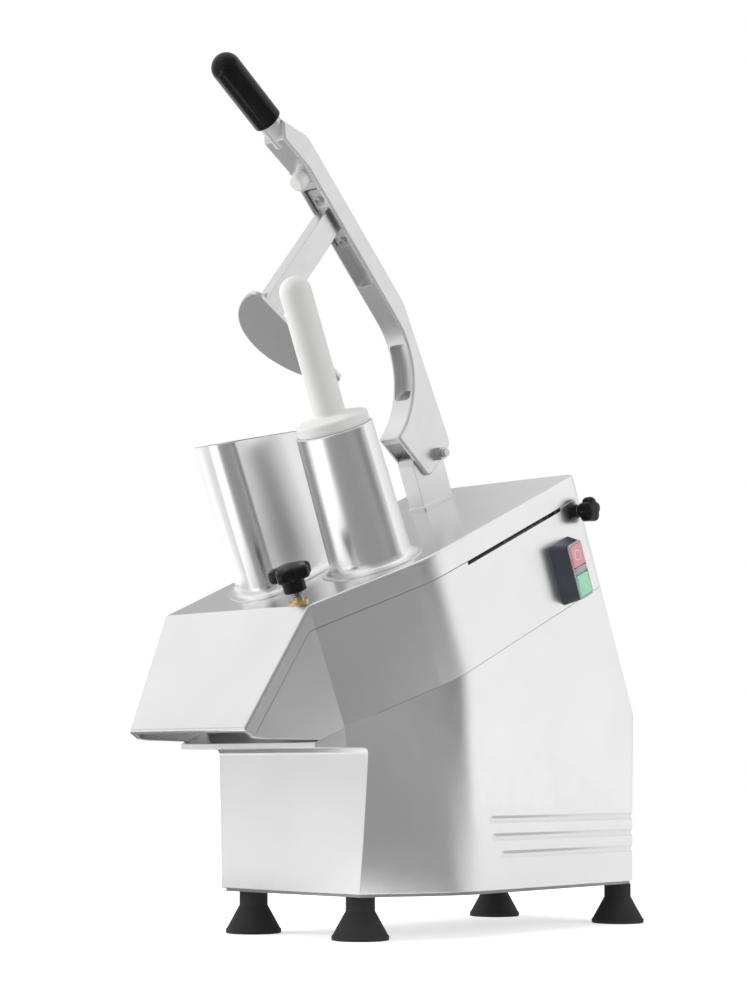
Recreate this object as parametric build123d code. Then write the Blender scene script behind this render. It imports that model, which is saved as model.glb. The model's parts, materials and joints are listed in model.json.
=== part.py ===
"""Vegetable cutter with a tilted cast head, two feed chutes and a raised pressing lever.

Millimetres, Z up, the floor at Z = 0, the discharge side towards -Y and the switch on +X.
The head is drawn in its own frame: x across, v up its slope, w square to its cover, whose top is w = 0.
"""
import os
from build123d import *
from math import atan2, copysign, cos, hypot, pi, radians, sin, sqrt, tan

# Slope and outline of the head
tilt = 23.5
head_front_y = -261.0
head_front_z = 300.5
head_length = 379.0
hood_left_half = 77.6
hood_right_half = 71.0
hood_reach = 98.0
hood_drop = 78.0
hood_lip = 13.0
hood_blend = -7.0
shoulder_half = 93.0
bulge_x = 138.0
bulge_v = 118.0
bulge_radius = 110.0
rear_right_x = 131.0
rear_left_x = 82.0
rear_radius = 14.0

# Cover
cover_top = 7.0
cover_wall = 5.0
cover_round = 3.0
skirt_depth = 22.5
joint_gap = 0.3

# Head housing
house_wall = 6.0
seam_depth = 117.0
cheek_back = 28.0
cheek_nose_v = 80.0
cheek_nose_w = 94.0
slot_front = 173.0
slot_rear = 336.0
slot_high = 3.5
floor_depth = 72.0
floor_thick = 6.0
bulkhead_v = 52.0
bulkhead_thick = 5.0
chamber_radius = 105.5
chamber_wall = 5.0
mouth_half = 70.0

# Hinge of the cover
hinge_w = -36.0
hinge_pin_diameter = 8.0
running_clearance = 0.05
lug_width = 10.0
lug_radius = 9.0
lug_stem = 14.0
lug_right_x = 100.0
lug_left_x = -59.0
lug_side_gap = 2.0
hinge_boss_radius = 10.0
hinge_pin_left = -72.0
notch_gap = 1.5

# Hinge knob
hinge_hub_diameter = 14.0
hinge_hub_length = 5.5
hinge_hub_gap = 1.5
hinge_knob_diameter = 26.0
hinge_knob_thick = 12.0
knob_lobes = 5
lobe_radius_share = 0.36
lobe_core_share = 0.76
lobe_blend_share = 0.2
knob_round_share = 0.16

# Large D chute
d_x = 14.0
d_v = 118.0
d_radius = 84.0
d_depth = 79.0
d_wall = 4.5
d_corner = 13.0
d_rim_front_v = 40.0
d_rim_front_w = 146.0
d_rim_rear_v = 200.0
d_rim_rear_w = 118.0
chute_flare = 9.0
chute_foot = 0.8
chute_lip_round = 1.2

# Round chute and its pusher
tube_x = 72.0
tube_v = 116.5
tube_bore = 62.0
tube_rim_diameter = 72.0
tube_base_diameter = 78.0
tube_height = 130.0
plunger_diameter = 59.0
plunger_low = 12.0
plunger_skirt = 4.0
plunger_round = 2.0
pusher_flange_diameter = 67.5
pusher_flange_thick = 10.0
pusher_cone = 4.0
pusher_rod_diameter = 29.5
pusher_top = 272.0
pusher_round = 3.0
pusher_dome_share = 0.97

# Lock knob on the front of the cover
lock_x = 73.0
lock_v = 9.0
stud_diameter = 6.0
stud_low = -20.0
stud_in_knob = 12.0
bush_diameter = 19.0
bush_neck_diameter = 11.0
bush_thick = 2.5
bush_neck_top = 4.0
bush_shank_diameter = 10.0
spring_diameter = 10.6
spring_wire = 1.1
spring_turns = 3.0
spring_arcs = 4
lock_hub_low = 11.0
lock_hub_diameter = 21.0
lock_hub_length = 11.5
lock_knob_diameter = 41.0
lock_knob_thick = 13.0
lock_boss_radius = 9.0
lock_boss_depth = 40.0
lock_rib = 8.0

# Lever post and pivot
lever_x = -12.0
pivot_v = 332.8
pivot_w = 47.7
post_width = 19.0
post_front = 38.0
post_rear = 10.0
post_crown = 12.0
post_front_round = 16.0
post_rear_round = 8.0
post_foot_lip = 2.5
post_foot_thick = 2.5
post_foot_round = 2.0
post_root_round = 1.6
pivot_diameter = 8.0
pivot_head_diameter = 13.0
pivot_head_thick = 5.0
pivot_tail = 5.0
pivot_nut_diameter = 14.0
pivot_nut_thick = 6.5

# Lever, drawn with u along its straight part towards the grip and n towards its back
lever_rise = 44.5
lever_width = 27.5
lever_back_n = 68.0
lever_under_n = 46.0
lever_top_lead = 21.0
lever_end_lead = 52.0
lever_end_n = 49.0
lever_bend_u = 140.0
lever_heel_u = -7.0
lever_heel_n = 23.0
lever_tip_u = -9.0
lever_tip_n = -28.0
lever_web_u = 50.0
lever_web_n = -36.0
lever_bow_u = 58.0
lever_bow_radius = 85.0
lever_lip_lead = 38.0
lever_lip_n = 37.0
lever_rise_u = 314.0
lever_rise_radius = 45.0
lever_top_radius = 12.0
lever_bend_radius = 45.0
lever_heel_radius = 12.0
lever_tip_radius = 9.0
lever_edge_radius = 2.5
fork_depth_u = 42.0
pocket_width = 21.0
pocket_depth = 10.0
pocket_round = 4.0
pocket_gap = 14.0
pocket_length = 114.0
bow_pocket_low_u = 64.0
bow_pocket_high_u = 108.0

# Grip
stub_diameter = 22.0
stub_root_lead = 31.0
stub_root_n = 49.0
grip_end_lead = 135.0
grip_end_n = 30.0
grip_length = 80.0
grip_diameter = 28.5
grip_bore_depth = 60.0

# Bumper
bumper_back = 8.0
bumper_diameter = 17.0
bumper_length = 17.0
bumper_socket = 4.0
bumper_round = 3.0

# Presser
press_foot_gap = 4.0
press_foot_length = 66.0
press_foot_thick = 5.0
press_foot_width = 19.0
press_arm_width = 13.0
press_arm_back = 20.0
press_arm_lean = 13.0
press_arm_length = 25.0
press_screw_low = 7.0
press_screw_high = 11.0
press_screw_diameter = 5.0
press_screw_head = 9.0
press_screw_head_thick = 4.0
press_screw_grip = 8.0
plate_lead = 18.0
plate_reach = 132.0
plate_front_n = -95.0
plate_rear_n = -58.8
plate_thick = 4.0
plate_chord = 15.0
plate_bulge = 61.0
plate_tip_radius = 7.0
gusset_reach = 6.0
gusset_rise = 20.0
gusset_thick = 6.0

# Cutting disc, ejector and spindle
disc_x = 23.0
disc_v = 134.0
disc_diameter = 205.0
disc_top = -12.0
disc_thick = 5.0
disc_rim = 4.0
disc_hub_diameter = 46.0
disc_hub_depth = 16.0
blade_count = 2
blade_inner = 30.0
blade_length = 62.0
blade_width = 26.0
blade_thick = 1.6
blade_slot = 15.0
blade_lift = 1.4
blade_edge = 2.0
slot_round_share = 0.3
ejector_diameter = 202.0
ejector_top = -52.0
ejector_thick = 5.0
ejector_hub_diameter = 40.0
ejector_hub_rise = 16.0
vane_count = 4
vane_thick = 6.0
vane_rise = 10.0
spindle_diameter = 20.0
spindle_collar_diameter = 30.0
spindle_collar_gap = 0.5
spindle_top_gap = 4.0
bearing_diameter = 42.0
bearing_width = 12.0
bearing_sink = 1.0
bearing_fit = 0.05
bearing_boss_diameter = 58.0
bearing_lip = 3.0
bearing_lip_width = 4.0

# Belt drive and motor
belt_level = -109.0
belt_width = 9.0
belt_thick = 3.5
belt_gap = 0.3
pulley_diameter = 142.0
pulley_flange = 4.0
pulley_flange_thick = 1.8
pulley_web = 4.0
pulley_rim = 6.0
pulley_hub_diameter = 40.0
motor_v = 268.0
motor_pulley_diameter = 44.0
motor_shaft_diameter = 14.0
motor_plate_gap = 4.4
motor_plate_thick = 6.0
motor_plate_left = -68.0
motor_plate_right = 92.0
motor_plate_front = 212.0
motor_plate_rear = 345.0
motor_plate_bore = 40.0
motor_post_radius = 8.0
motor_post_inset = 10.0
motor_screw_diameter = 6.0
motor_screw_head = 10.0
motor_screw_head_thick = 4.0
motor_screw_grip = 12.0
motor_diameter = 122.0
motor_length = 128.0
motor_bell = 24.0
motor_bell_share = 0.82

# Base
foot_height = 40.0
plate_gauge = 3.0
plate_inset = 3.0
base_wall = 6.0
base_front_y = -191.0
base_rear_y = 195.5
ledge_y = -245.0
ledge_z = 175.0
ledge_fillet = 5.0
sole_ledge_left = 80.0
sole_ledge_right = 82.0
sole_front_left = 88.0
sole_front_right = 90.0
sole_bulge_x = 138.0
sole_bulge_y = -98.0
sole_rear_right = 125.0
sole_rear_left = 78.0
deck_thick = 6.0
flute_low_z = 76.0
flute_pitch = 16.5
flute_high = 6.5
flute_deep = 2.5
flute_low_y = -42.0
flute_mid_y = -57.0
flute_top_y = -61.0
foot_boss_radius = 10.0
foot_boss_height = 16.0

# Feet and their screws
foot_front_y = -169.0
foot_rear_y = 179.5
foot_front_left = -67.0
foot_front_right = 71.0
foot_rear_left = -50.0
foot_rear_right = 111.0
foot_diameter = 53.0
foot_rim = 4.0
foot_neck_diameter = 27.0
foot_neck_z = 24.0
foot_flare_share = 0.3
foot_recess_diameter = 15.0
foot_recess = 26.0
foot_screw_diameter = 6.0
foot_screw_head = 12.0
foot_screw_head_thick = 4.0
foot_screw_grip = 12.0

# Vents of the bottom plate
vent_count = 6
vent_width = 5.0
vent_length = 70.0
vent_pitch = 12.0
vent_y = 60.0
vent_x = 20.0

# Switch
switch_v = 320.0
switch_w = -83.0
switch_width = 40.0
switch_height = 61.0
switch_proud = 16.0
switch_side_slope = 8.5
switch_end_slope = 2.5
switch_corner = 5.0
switch_back_width = 32.0
switch_back_height = 50.0
switch_back_depth = 26.0
frame_thick = 1.2
button_width = 20.4
button_height = 25.0
button_pitch = 26.6
button_corner = 2.0
button_clearance = 0.3
button_proud = 0.6
button_depth = 7.0
button_travel = 2.5

# Cable inlet at the rear
gland_x = 20.0
gland_z = 72.0
gland_diameter = 24.0
gland_flange_thick = 4.0
gland_nose_diameter = 16.0
gland_length = 20.0
gland_bore = 8.0
gland_shank = 12.0

# Screw heads
screw_round_share = 0.25
socket_share = 0.55
socket_depth_share = 0.5

# Number of points on the spring at which its self-gap is measured
coil_samples = 240

# Length by which a cut runs past the piece that it cuts
overrun = 30.0

# Derived frames, levels and lines
slope = radians(tilt)
HEAD = Plane(origin=(0, head_front_y, head_front_z), x_dir=(1, 0, 0),
             z_dir=(0, -sin(slope), cos(slope))).location
hood_run = hypot(hood_reach, hood_drop)
hood_along = (-hood_reach / hood_run, -hood_drop / hood_run)
hood_inward = (hood_drop / hood_run, -hood_reach / hood_run)
hood_tip = (-hood_reach + hood_lip * hood_inward[0], -hood_drop + hood_lip * hood_inward[1])
house_top = -skirt_depth - joint_gap
floor_low = -floor_depth - floor_thick
deck_v = bulkhead_v + bulkhead_thick
base_floor = foot_height + plate_gauge
hinge_bore = hinge_pin_diameter / 2 + running_clearance
hinge_relief = house_top - hinge_w
hinge_v = head_length - hinge_relief
d_chord = d_x - d_radius + d_depth
motor_plate_depth = belt_width / 2 + joint_gap + pulley_flange_thick + motor_plate_gap - belt_level
lever_top_u = lever_rise_u + lever_top_lead
lever_end_u = lever_rise_u + lever_end_lead
lever_lip_u = lever_rise_u + lever_lip_lead
stub_root_u = lever_rise_u + stub_root_lead
grip_end_u = lever_rise_u + grip_end_lead
bumper_u = lever_rise_u - bumper_back
pocket_high_u = bumper_u - pocket_gap
pocket_low_u = pocket_high_u - pocket_length
press_foot_high_u = pocket_high_u - press_foot_gap
press_foot_low_u = press_foot_high_u - press_foot_length
press_screw_high_u = press_foot_high_u - press_screw_high
press_screw_low_u = press_foot_low_u + press_screw_low
press_arm_top_u = press_foot_high_u - press_arm_back
press_arm_low_u = press_arm_top_u - press_arm_lean
plate_front_u = press_arm_low_u + plate_lead
plate_rear_u = plate_front_u - plate_reach
head_side = 2 * bulge_x
pivot_y = head_front_y + pivot_v * cos(slope) - pivot_w * sin(slope)
pivot_z = head_front_z + pivot_v * sin(slope) + pivot_w * cos(slope)
rise = radians(lever_rise)
LEVER = Plane(origin=(lever_x, pivot_y, pivot_z), x_dir=(0, -cos(rise), sin(rise)),
              z_dir=(-1, 0, 0)).location
side_angle = atan2(bulge_x - rear_right_x, head_length - bulge_v)
switch_x = bulge_x - (switch_v - bulge_v) * tan(side_angle)
SWITCH = HEAD * Plane(origin=(switch_x, switch_v, switch_w), x_dir=(-sin(side_angle), cos(side_angle), 0),
                      z_dir=(cos(side_angle), sin(side_angle), 0)).location


def rounded(points, radii):
    """Closed outline through points, each corner rounded by its own radius (0 keeps it sharp)."""
    face = Polygon(*points, align=None)
    for point, radius in zip(points, radii):
        if radius > 0:
            corner = face.vertices().sort_by_distance(Vector(point[0], point[1], 0))[0]
            face = fillet(corner, radius)
    return face


def prism(face, low, high):
    """Solid over a flat outline between two levels."""
    return extrude(Pos(0, 0, low) * face, high - low, dir=(0, 0, 1))


def side(face, low, high):
    """Solid over an outline drawn in (v, w), between two places across the head."""
    return extrude(Pos(low, 0, 0) * (Plane.YZ * face), high - low, dir=(1, 0, 0))


def turned(face):
    """Body of revolution about Z from an outline of (radius, level)."""
    return revolve(Plane.XZ * face, Axis.Z)


def rod(x, y, low, high, radius):
    """Upright cylinder between two levels."""
    return Pos(x, y, low) * Cylinder(radius, high - low, align=(Align.CENTER, Align.CENTER, Align.MIN))


def cross_rod(low, high, y, z, radius):
    """Cylinder along x between two places."""
    lying = Rot(0, 90, 0) * Cylinder(radius, high - low, align=(Align.CENTER, Align.CENTER, Align.MIN))
    return Pos(low, y, z) * lying


def hexagon(x, y, low, high, across):
    """Upright six-sided prism, across its corners."""
    return prism(Pos(x, y) * RegularPolygon(across / 2, 6), low, high)


def head_outline(front, rear, inset):
    """Outline of the head seen square to its slope, from v = front to v = rear, drawn in by inset."""
    front_left = shoulder_half + (shoulder_half - hood_left_half) * front / hood_reach
    front_right = shoulder_half + (shoulder_half - hood_right_half) * front / hood_reach
    right = bulge_x - (rear - bulge_v) * tan(side_angle)
    left = shoulder_half - (shoulder_half - rear_left_x) * rear / head_length
    points = [(-front_left, front), (front_right, front), (shoulder_half, 0), (bulge_x, bulge_v),
              (right, rear), (-left, rear), (-shoulder_half, 0)]
    face = rounded(points, [0, 0, 0, bulge_radius, rear_radius, rear_radius, 0])
    return offset(face, -inset) if inset else face


def d_outline(grow):
    """D of the large chute, its straight side towards the round chute."""
    width = 2 * (d_radius + grow)
    keep = Pos(d_chord + grow - width / 2, d_v) * Rectangle(width, width)
    face = (Pos(d_x, d_v) * Circle(d_radius + grow)) & keep
    return fillet(face.vertices(), d_corner + grow)


def star(diameter, thick, hub_diameter, hub_length):
    """Five-lobed knob on a hub, standing on the hub's end."""
    radius = diameter / 2
    lobe = radius * lobe_radius_share
    face = Circle(radius * lobe_core_share)
    for place in PolarLocations(radius - lobe, knob_lobes):
        face += place * Circle(lobe)
    face = fillet(face.vertices(), radius * lobe_blend_share)
    head = extrude(Pos(0, 0, hub_length) * face, thick, dir=(0, 0, 1))
    edges = head.edges().group_by(Axis.Z)[-1] + head.edges().group_by(Axis.Z)[0]
    head = fillet(edges, thick * knob_round_share)
    return head + rod(0, 0, 0, hub_length + thick / 2, hub_diameter / 2)


def flange_root(body, level):
    """Edges where an upright wall meets the flat top of its foot at a level."""
    flats = body.faces().filter_by(GeomType.PLANE).filter_by(lambda face: len(face.inner_wires()) > 0)
    return flats.sort_by(lambda face: abs(face.center().Z - level))[0].inner_wires()[0].edges()


def make_cover():
    """Cover casting: sloping hood in front, skirt all round, openings for both chutes and two hinge lugs."""
    outer = prism(head_outline(-hood_reach, head_length, 0), hood_tip[1], 0)
    outer &= side(Polygon((0, 0), (-hood_reach, -hood_drop), hood_tip, (hood_blend, -skirt_depth),
                          (head_length, -skirt_depth), (head_length, 0), align=None), -head_side,
                  head_side)
    plate = outer.faces().filter_by(lambda face: face.normal_at().Z > 0 and face.normal_at().Y < 0)[0]
    edges = outer.faces().sort_by(Axis.Z)[-1].edges() + plate.edges().filter_by(
        lambda edge: abs(edge.center().X) > cover_round)
    outer = fillet(edges, cover_round)
    step = (cover_top - cover_wall * hood_reach / hood_run) * hood_run / hood_drop
    start = (cover_wall * hood_inward[0] + step * hood_along[0], -cover_top)
    end_v = -hood_reach + cover_wall * hood_inward[0] + overrun * hood_along[0]
    end_w = -hood_drop + cover_wall * hood_inward[1] + overrun * hood_along[1]
    hollow = prism(head_outline(-hood_reach - overrun, head_length, cover_wall), end_w, -cover_top)
    hollow &= side(Polygon(start, (end_v, end_w), (head_length, end_w), (head_length, -cover_top),
                           align=None),
                   -head_side, head_side)
    body = outer - hollow
    for lug_x in (lug_left_x, lug_right_x):
        low = lug_x - lug_width / 2
        high = lug_x + lug_width / 2
        stem = Polygon((hinge_v - lug_stem / 2, hinge_w), (hinge_v + lug_stem / 2, hinge_w),
                       (hinge_v + lug_stem / 2, -cover_top / 2), (hinge_v - lug_stem / 2, -cover_top / 2),
                       align=None)
        body += side(stem, low, high) + cross_rod(low, high, hinge_v, hinge_w, lug_radius)
    body -= cross_rod(-head_side, head_side, hinge_v, hinge_w, hinge_bore)
    body -= prism(d_outline(0), -skirt_depth, overrun)
    body -= rod(tube_x, tube_v, -skirt_depth, overrun, tube_bore / 2)
    body -= rod(lock_x, lock_v, -skirt_depth, overrun, bush_shank_diameter / 2)
    return body


def make_d_chute():
    """D-shaped chute with a flared foot and a rim that falls towards the lever."""
    rim_fall = (d_rim_front_w - d_rim_rear_w) / (d_rim_rear_v - d_rim_front_v)
    front_v = d_v - d_radius - overrun
    rear_v = d_v + d_radius + overrun
    front_w = d_rim_front_w + rim_fall * (d_rim_front_v - front_v)
    rear_w = d_rim_front_w - rim_fall * (rear_v - d_rim_front_v)
    body = prism(d_outline(d_wall + chute_flare), 0, chute_foot) + prism(d_outline(d_wall), 0,
        front_w + overrun)
    body = fillet(flange_root(body, chute_foot), chute_flare - chute_foot / 2)
    body -= prism(d_outline(0), -overrun, front_w + 2 * overrun)
    body -= side(Polygon((front_v, front_w), (rear_v, rear_w), (rear_v, front_w + 2 * overrun),
                         (front_v, front_w + 2 * overrun), align=None), -head_side, head_side)
    return body


def make_round_chute():
    """Round chute, turned: slightly tapered tube on a flared foot."""
    bore = tube_bore / 2
    base = tube_base_diameter / 2
    points = [(bore, 0), (base + chute_flare, 0), (base + chute_flare, chute_foot), (base, chute_foot),
              (tube_rim_diameter / 2, tube_height), (bore, tube_height)]
    face = rounded(points, [0, 0, 0, chute_flare - chute_foot / 2, chute_lip_round, chute_lip_round])
    return Pos(tube_x, tube_v) * turned(face)


def make_pusher():
    """Pusher: plunger in the round chute, flange on its rim and a round-topped handle."""
    low = tube_height + joint_gap
    rim = low + pusher_flange_thick
    rod_radius = pusher_rod_diameter / 2
    outline = rounded(
        [(0, plunger_low + plunger_skirt),
         (plunger_diameter / 2 - plunger_skirt, plunger_low + plunger_skirt),
         (plunger_diameter / 2 - plunger_skirt, plunger_low), (plunger_diameter / 2, plunger_low),
         (plunger_diameter / 2, low), (pusher_flange_diameter / 2, low),
         (pusher_flange_diameter / 2, rim),
         (rod_radius, rim + pusher_cone), (rod_radius, pusher_top), (0, pusher_top)],
        [0, 0, 0, plunger_round, 0, 0, pusher_round, pusher_round, 0, 0])
    body = turned(outline)
    dome = body.edges().group_by(Axis.Z)[-1]
    return Pos(tube_x, tube_v) * fillet(dome, rod_radius * pusher_dome_share)


def make_housing():
    """Head housing: walls, front cheeks, chamber floor with bearing boss, motor posts and pin bosses."""
    outline = head_outline(-hood_reach, head_length, 0)
    profile = Polygon((hood_blend, house_top), (hood_tip[0], hood_tip[1] - joint_gap),
                      (-cheek_nose_v, -cheek_nose_w),
                      (-cheek_back, -seam_depth), (head_length, -seam_depth), (head_length, house_top),
                      align=None)
    shell = prism(outline, -seam_depth, house_top) & side(profile, -head_side, head_side)
    inside = prism(head_outline(-hood_reach - overrun, head_length, house_wall), -seam_depth - overrun,
                   overrun)
    body = shell - inside
    room = shell & inside
    slab = Polygon((bulkhead_v, floor_low), (head_length, floor_low), (head_length, -floor_depth),
                   (bulkhead_v, -floor_depth), align=None)
    wall = Polygon((bulkhead_v, -seam_depth), (deck_v, -seam_depth), (deck_v, -floor_depth),
                   (bulkhead_v, -floor_depth),
                   align=None)
    body += side(slab, -head_side, head_side) & room
    body += side(wall, -head_side, head_side) & room
    ring = rod(disc_x, disc_v, floor_low, house_top, chamber_radius + chamber_wall)
    ring -= rod(disc_x, disc_v, -floor_depth, overrun, chamber_radius)
    mouth = Polygon((-hood_reach, -seam_depth), (bulkhead_v, -seam_depth), (bulkhead_v, overrun),
                    (-hood_reach, overrun),
                    align=None)
    ring -= side(mouth, -mouth_half + disc_x, mouth_half + disc_x)
    body += ring & shell
    bore_low = -floor_depth - bearing_sink - 2 * bearing_width
    body += rod(disc_x, disc_v, bore_low - bearing_lip, -floor_depth, bearing_boss_diameter / 2)
    body -= rod(disc_x, disc_v, bore_low, overrun, bearing_diameter / 2 + bearing_fit)
    body -= rod(disc_x, disc_v, -seam_depth, overrun, bearing_diameter / 2 - bearing_lip_width)
    for x, v in motor_posts():
        body += rod(x, v, -motor_plate_depth, -floor_depth, motor_post_radius) - rod(
            x, v, -seam_depth - overrun, -motor_plate_depth + motor_screw_grip + joint_gap,
                motor_screw_diameter / 2)
    right_low = lug_right_x + lug_width / 2 + lug_side_gap
    left_high = lug_left_x - lug_width / 2 - lug_side_gap
    body += cross_rod(right_low, head_side, hinge_v, hinge_w, hinge_boss_radius) & shell
    body += cross_rod(-head_side, left_high, hinge_v, hinge_w, hinge_boss_radius) & shell
    body -= cross_rod(hinge_pin_left - joint_gap, head_side, hinge_v, hinge_w, hinge_bore)
    for lug_x in (lug_left_x, lug_right_x):
        half = lug_width / 2 + notch_gap
        notch_low = hinge_w - lug_radius - notch_gap
        notch = Polygon((hinge_v, notch_low), (head_length + overrun, notch_low),
                        (head_length + overrun, overrun),
                        (hinge_v, overrun), align=None)
        body -= side(notch, lug_x - half, lug_x + half)
    crown = Polygon((hinge_v, hinge_w), (head_length + overrun, hinge_w),
                    (head_length + overrun, overrun),
                    (hinge_v, overrun), align=None)
    body -= side(crown, -head_side, head_side) - cross_rod(-head_side, head_side, hinge_v, hinge_w,
                                                           hinge_relief)
    slit = Polygon((slot_front, house_top - slot_high), (slot_rear, house_top - slot_high),
                   (slot_rear, overrun),
                   (slot_front, overrun), align=None)
    body -= side(slit, -head_side, head_side)
    lock_low = house_top - lock_boss_depth
    boss = rod(lock_x, lock_v, lock_low, house_top, lock_boss_radius)
    boss += prism(Pos(lock_x + bulge_x / 2, lock_v) * Rectangle(bulge_x, lock_rib), lock_low, house_top)
    body += boss & shell
    body -= rod(lock_x, lock_v, lock_low - overrun, overrun, stud_diameter / 2 + running_clearance)
    opening = Pos(0, 0, -switch_back_depth) * Rectangle(switch_back_width + 2 * joint_gap,
                                                        switch_back_height + 2 * joint_gap)
    body = HEAD * body - SWITCH * extrude(opening, switch_back_depth + overrun, dir=(0, 0, 1))
    return body


def motor_posts():
    """Places of the four posts that carry the motor plate, as (x, v)."""
    return [(x, v) for x in (motor_plate_left + motor_post_inset, motor_plate_right - motor_post_inset)
            for v in (motor_plate_front + motor_post_inset, motor_plate_rear - motor_post_inset)]


def feet_places():
    """Places of the four feet, as (x, y)."""
    return [(foot_front_left, foot_front_y), (foot_front_right, foot_front_y),
            (foot_rear_left, foot_rear_y), (foot_rear_right, foot_rear_y)]


def base_block(inset):
    """Base casting as a block, from its flat sole up to the sloping seam, drawn in by inset."""
    points = [(-sole_ledge_left, ledge_y), (sole_ledge_right, ledge_y), (sole_front_right, base_front_y),
              (sole_bulge_x, sole_bulge_y), (sole_rear_right, base_rear_y),
              (-sole_rear_left, base_rear_y),
              (-sole_front_left, base_front_y)]
    sole = rounded(points, [0, 0, 0, bulge_radius, rear_radius, rear_radius, 0])
    ledge_v = (ledge_y - head_front_y - seam_depth * sin(slope)) / cos(slope)
    rear_v = (base_rear_y - head_front_y - seam_depth * sin(slope)) / cos(slope)
    if inset:
        sole = offset(sole, -inset)
    seam = head_outline(ledge_v, rear_v, inset)
    return loft([Pos(0, 0, base_floor) * sole, HEAD * (Pos(0, 0, -seam_depth) * seam)], ruled=True)


def make_base():
    """Base casting: hollow, with a sloping slide deck in front, fluted sides and bosses for the feet."""
    outer = base_block(0)
    reach = base_rear_y - ledge_y
    behind = HEAD * side(Polygon((head_length, overrun), (head_length, -reach),
                                 (head_length + reach, -reach),
                                 (head_length + reach, overrun), align=None), -head_side, head_side)
    front = side(rounded([(ledge_y - overrun, -overrun), (base_front_y, -overrun),
                          (base_front_y, ledge_z),
                          (ledge_y - overrun, ledge_z)], [0, 0, ledge_fillet, 0]), -head_side, head_side)
    strip = Pos(0, head_length) * Rectangle(2 * head_side, 2 * rear_radius)
    corners = HEAD * prism(strip - head_outline(-hood_reach, head_length, 0), -reach, overrun)
    solid = outer - behind - corners - front
    deck = HEAD * side(Polygon((-reach, -seam_depth - deck_thick), (deck_v, -seam_depth - deck_thick),
                               (deck_v, overrun),
                               (-reach, overrun), align=None), -head_side, head_side)
    back_wall = HEAD * side(Polygon((head_length - base_wall, overrun), (head_length - base_wall, -reach),
                                    (head_length + reach, -reach), (head_length + reach, overrun),
                                    align=None),
                            -head_side, head_side)
    front_wall = side(Polygon((ledge_y - overrun, -overrun), (base_front_y + base_wall, -overrun),
                              (base_front_y + base_wall, head_front_z), (ledge_y - overrun, head_front_z),
                              align=None),
                      -head_side, head_side)
    body = solid - (base_block(base_wall) - deck - back_wall - front_wall)
    skin = base_block(flute_deep)
    for number, front_y in enumerate((flute_low_y, flute_mid_y, flute_top_y)):
        level = flute_low_z + number * flute_pitch
        length = base_rear_y + overrun - front_y
        groove = Pos(0, front_y + length / 2, level) * (Plane.YZ * SlotOverall(length, flute_high))
        body -= extrude(groove, head_side, dir=(1, 0, 0), both=True) - skin
    for x, y in feet_places():
        boss_top = base_floor + foot_boss_height
        web = Pos(x + copysign(sole_bulge_x / 2, x), y) * Rectangle(sole_bulge_x, foot_boss_radius)
        body += (rod(x, y, base_floor, boss_top, foot_boss_radius)
                 + prism(web, base_floor, boss_top)) & outer
        body -= rod(x, y, base_floor - overrun, base_floor + foot_screw_grip + joint_gap,
                    foot_screw_diameter / 2)
    shank = Pos(gland_x, base_rear_y, gland_z) * Rot(-90, 0, 0) * Cylinder(gland_shank / 2, 2 * overrun)
    return body - shank


def make_post():
    """Lever post: rounded upright on a flared foot, bored for the pivot bolt."""
    front = pivot_v - post_front
    rear = pivot_v + post_rear
    top = pivot_w + post_crown
    upright = rounded([(front, 0), (rear, 0), (rear, top), (front, top)],
                      [0, 0, post_rear_round, post_front_round])
    low = lever_x - post_width / 2
    high = lever_x + post_width / 2
    foot = Pos(lever_x, (front + rear) / 2) * RectangleRounded(
        post_width + 2 * post_foot_lip, rear - front + 2 * post_foot_lip, post_foot_round)
    body = prism(foot, 0, post_foot_thick) + side(upright, low, high)
    body = fillet(flange_root(body, post_foot_thick), post_root_round)
    return body - cross_rod(low, high, pivot_v, pivot_w, pivot_diameter / 2 + running_clearance)


def bow_centre():
    """Centre of the round stretch under the lever, as (u, n)."""
    half = atan2(lever_under_n - lever_web_n, lever_web_u - lever_bow_u) / 2
    return lever_bow_u + lever_bow_radius / tan(half), lever_under_n - lever_bow_radius


def grip_line():
    """Direction of the grip and the place where it starts, as (u, n) pairs."""
    run = hypot(grip_end_u - stub_root_u, grip_end_n - stub_root_n)
    way = ((grip_end_u - stub_root_u) / run, (grip_end_n - stub_root_n) / run)
    return way, (grip_end_u - grip_length * way[0], grip_end_n - grip_length * way[1])


def grip_frame(place):
    """Frame whose z runs along the grip, at a place given as (u, n)."""
    way = grip_line()[0]
    return Plane(origin=(place[0], place[1], 0), x_dir=(0, 0, 1), z_dir=(way[0], way[1], 0)).location


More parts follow.
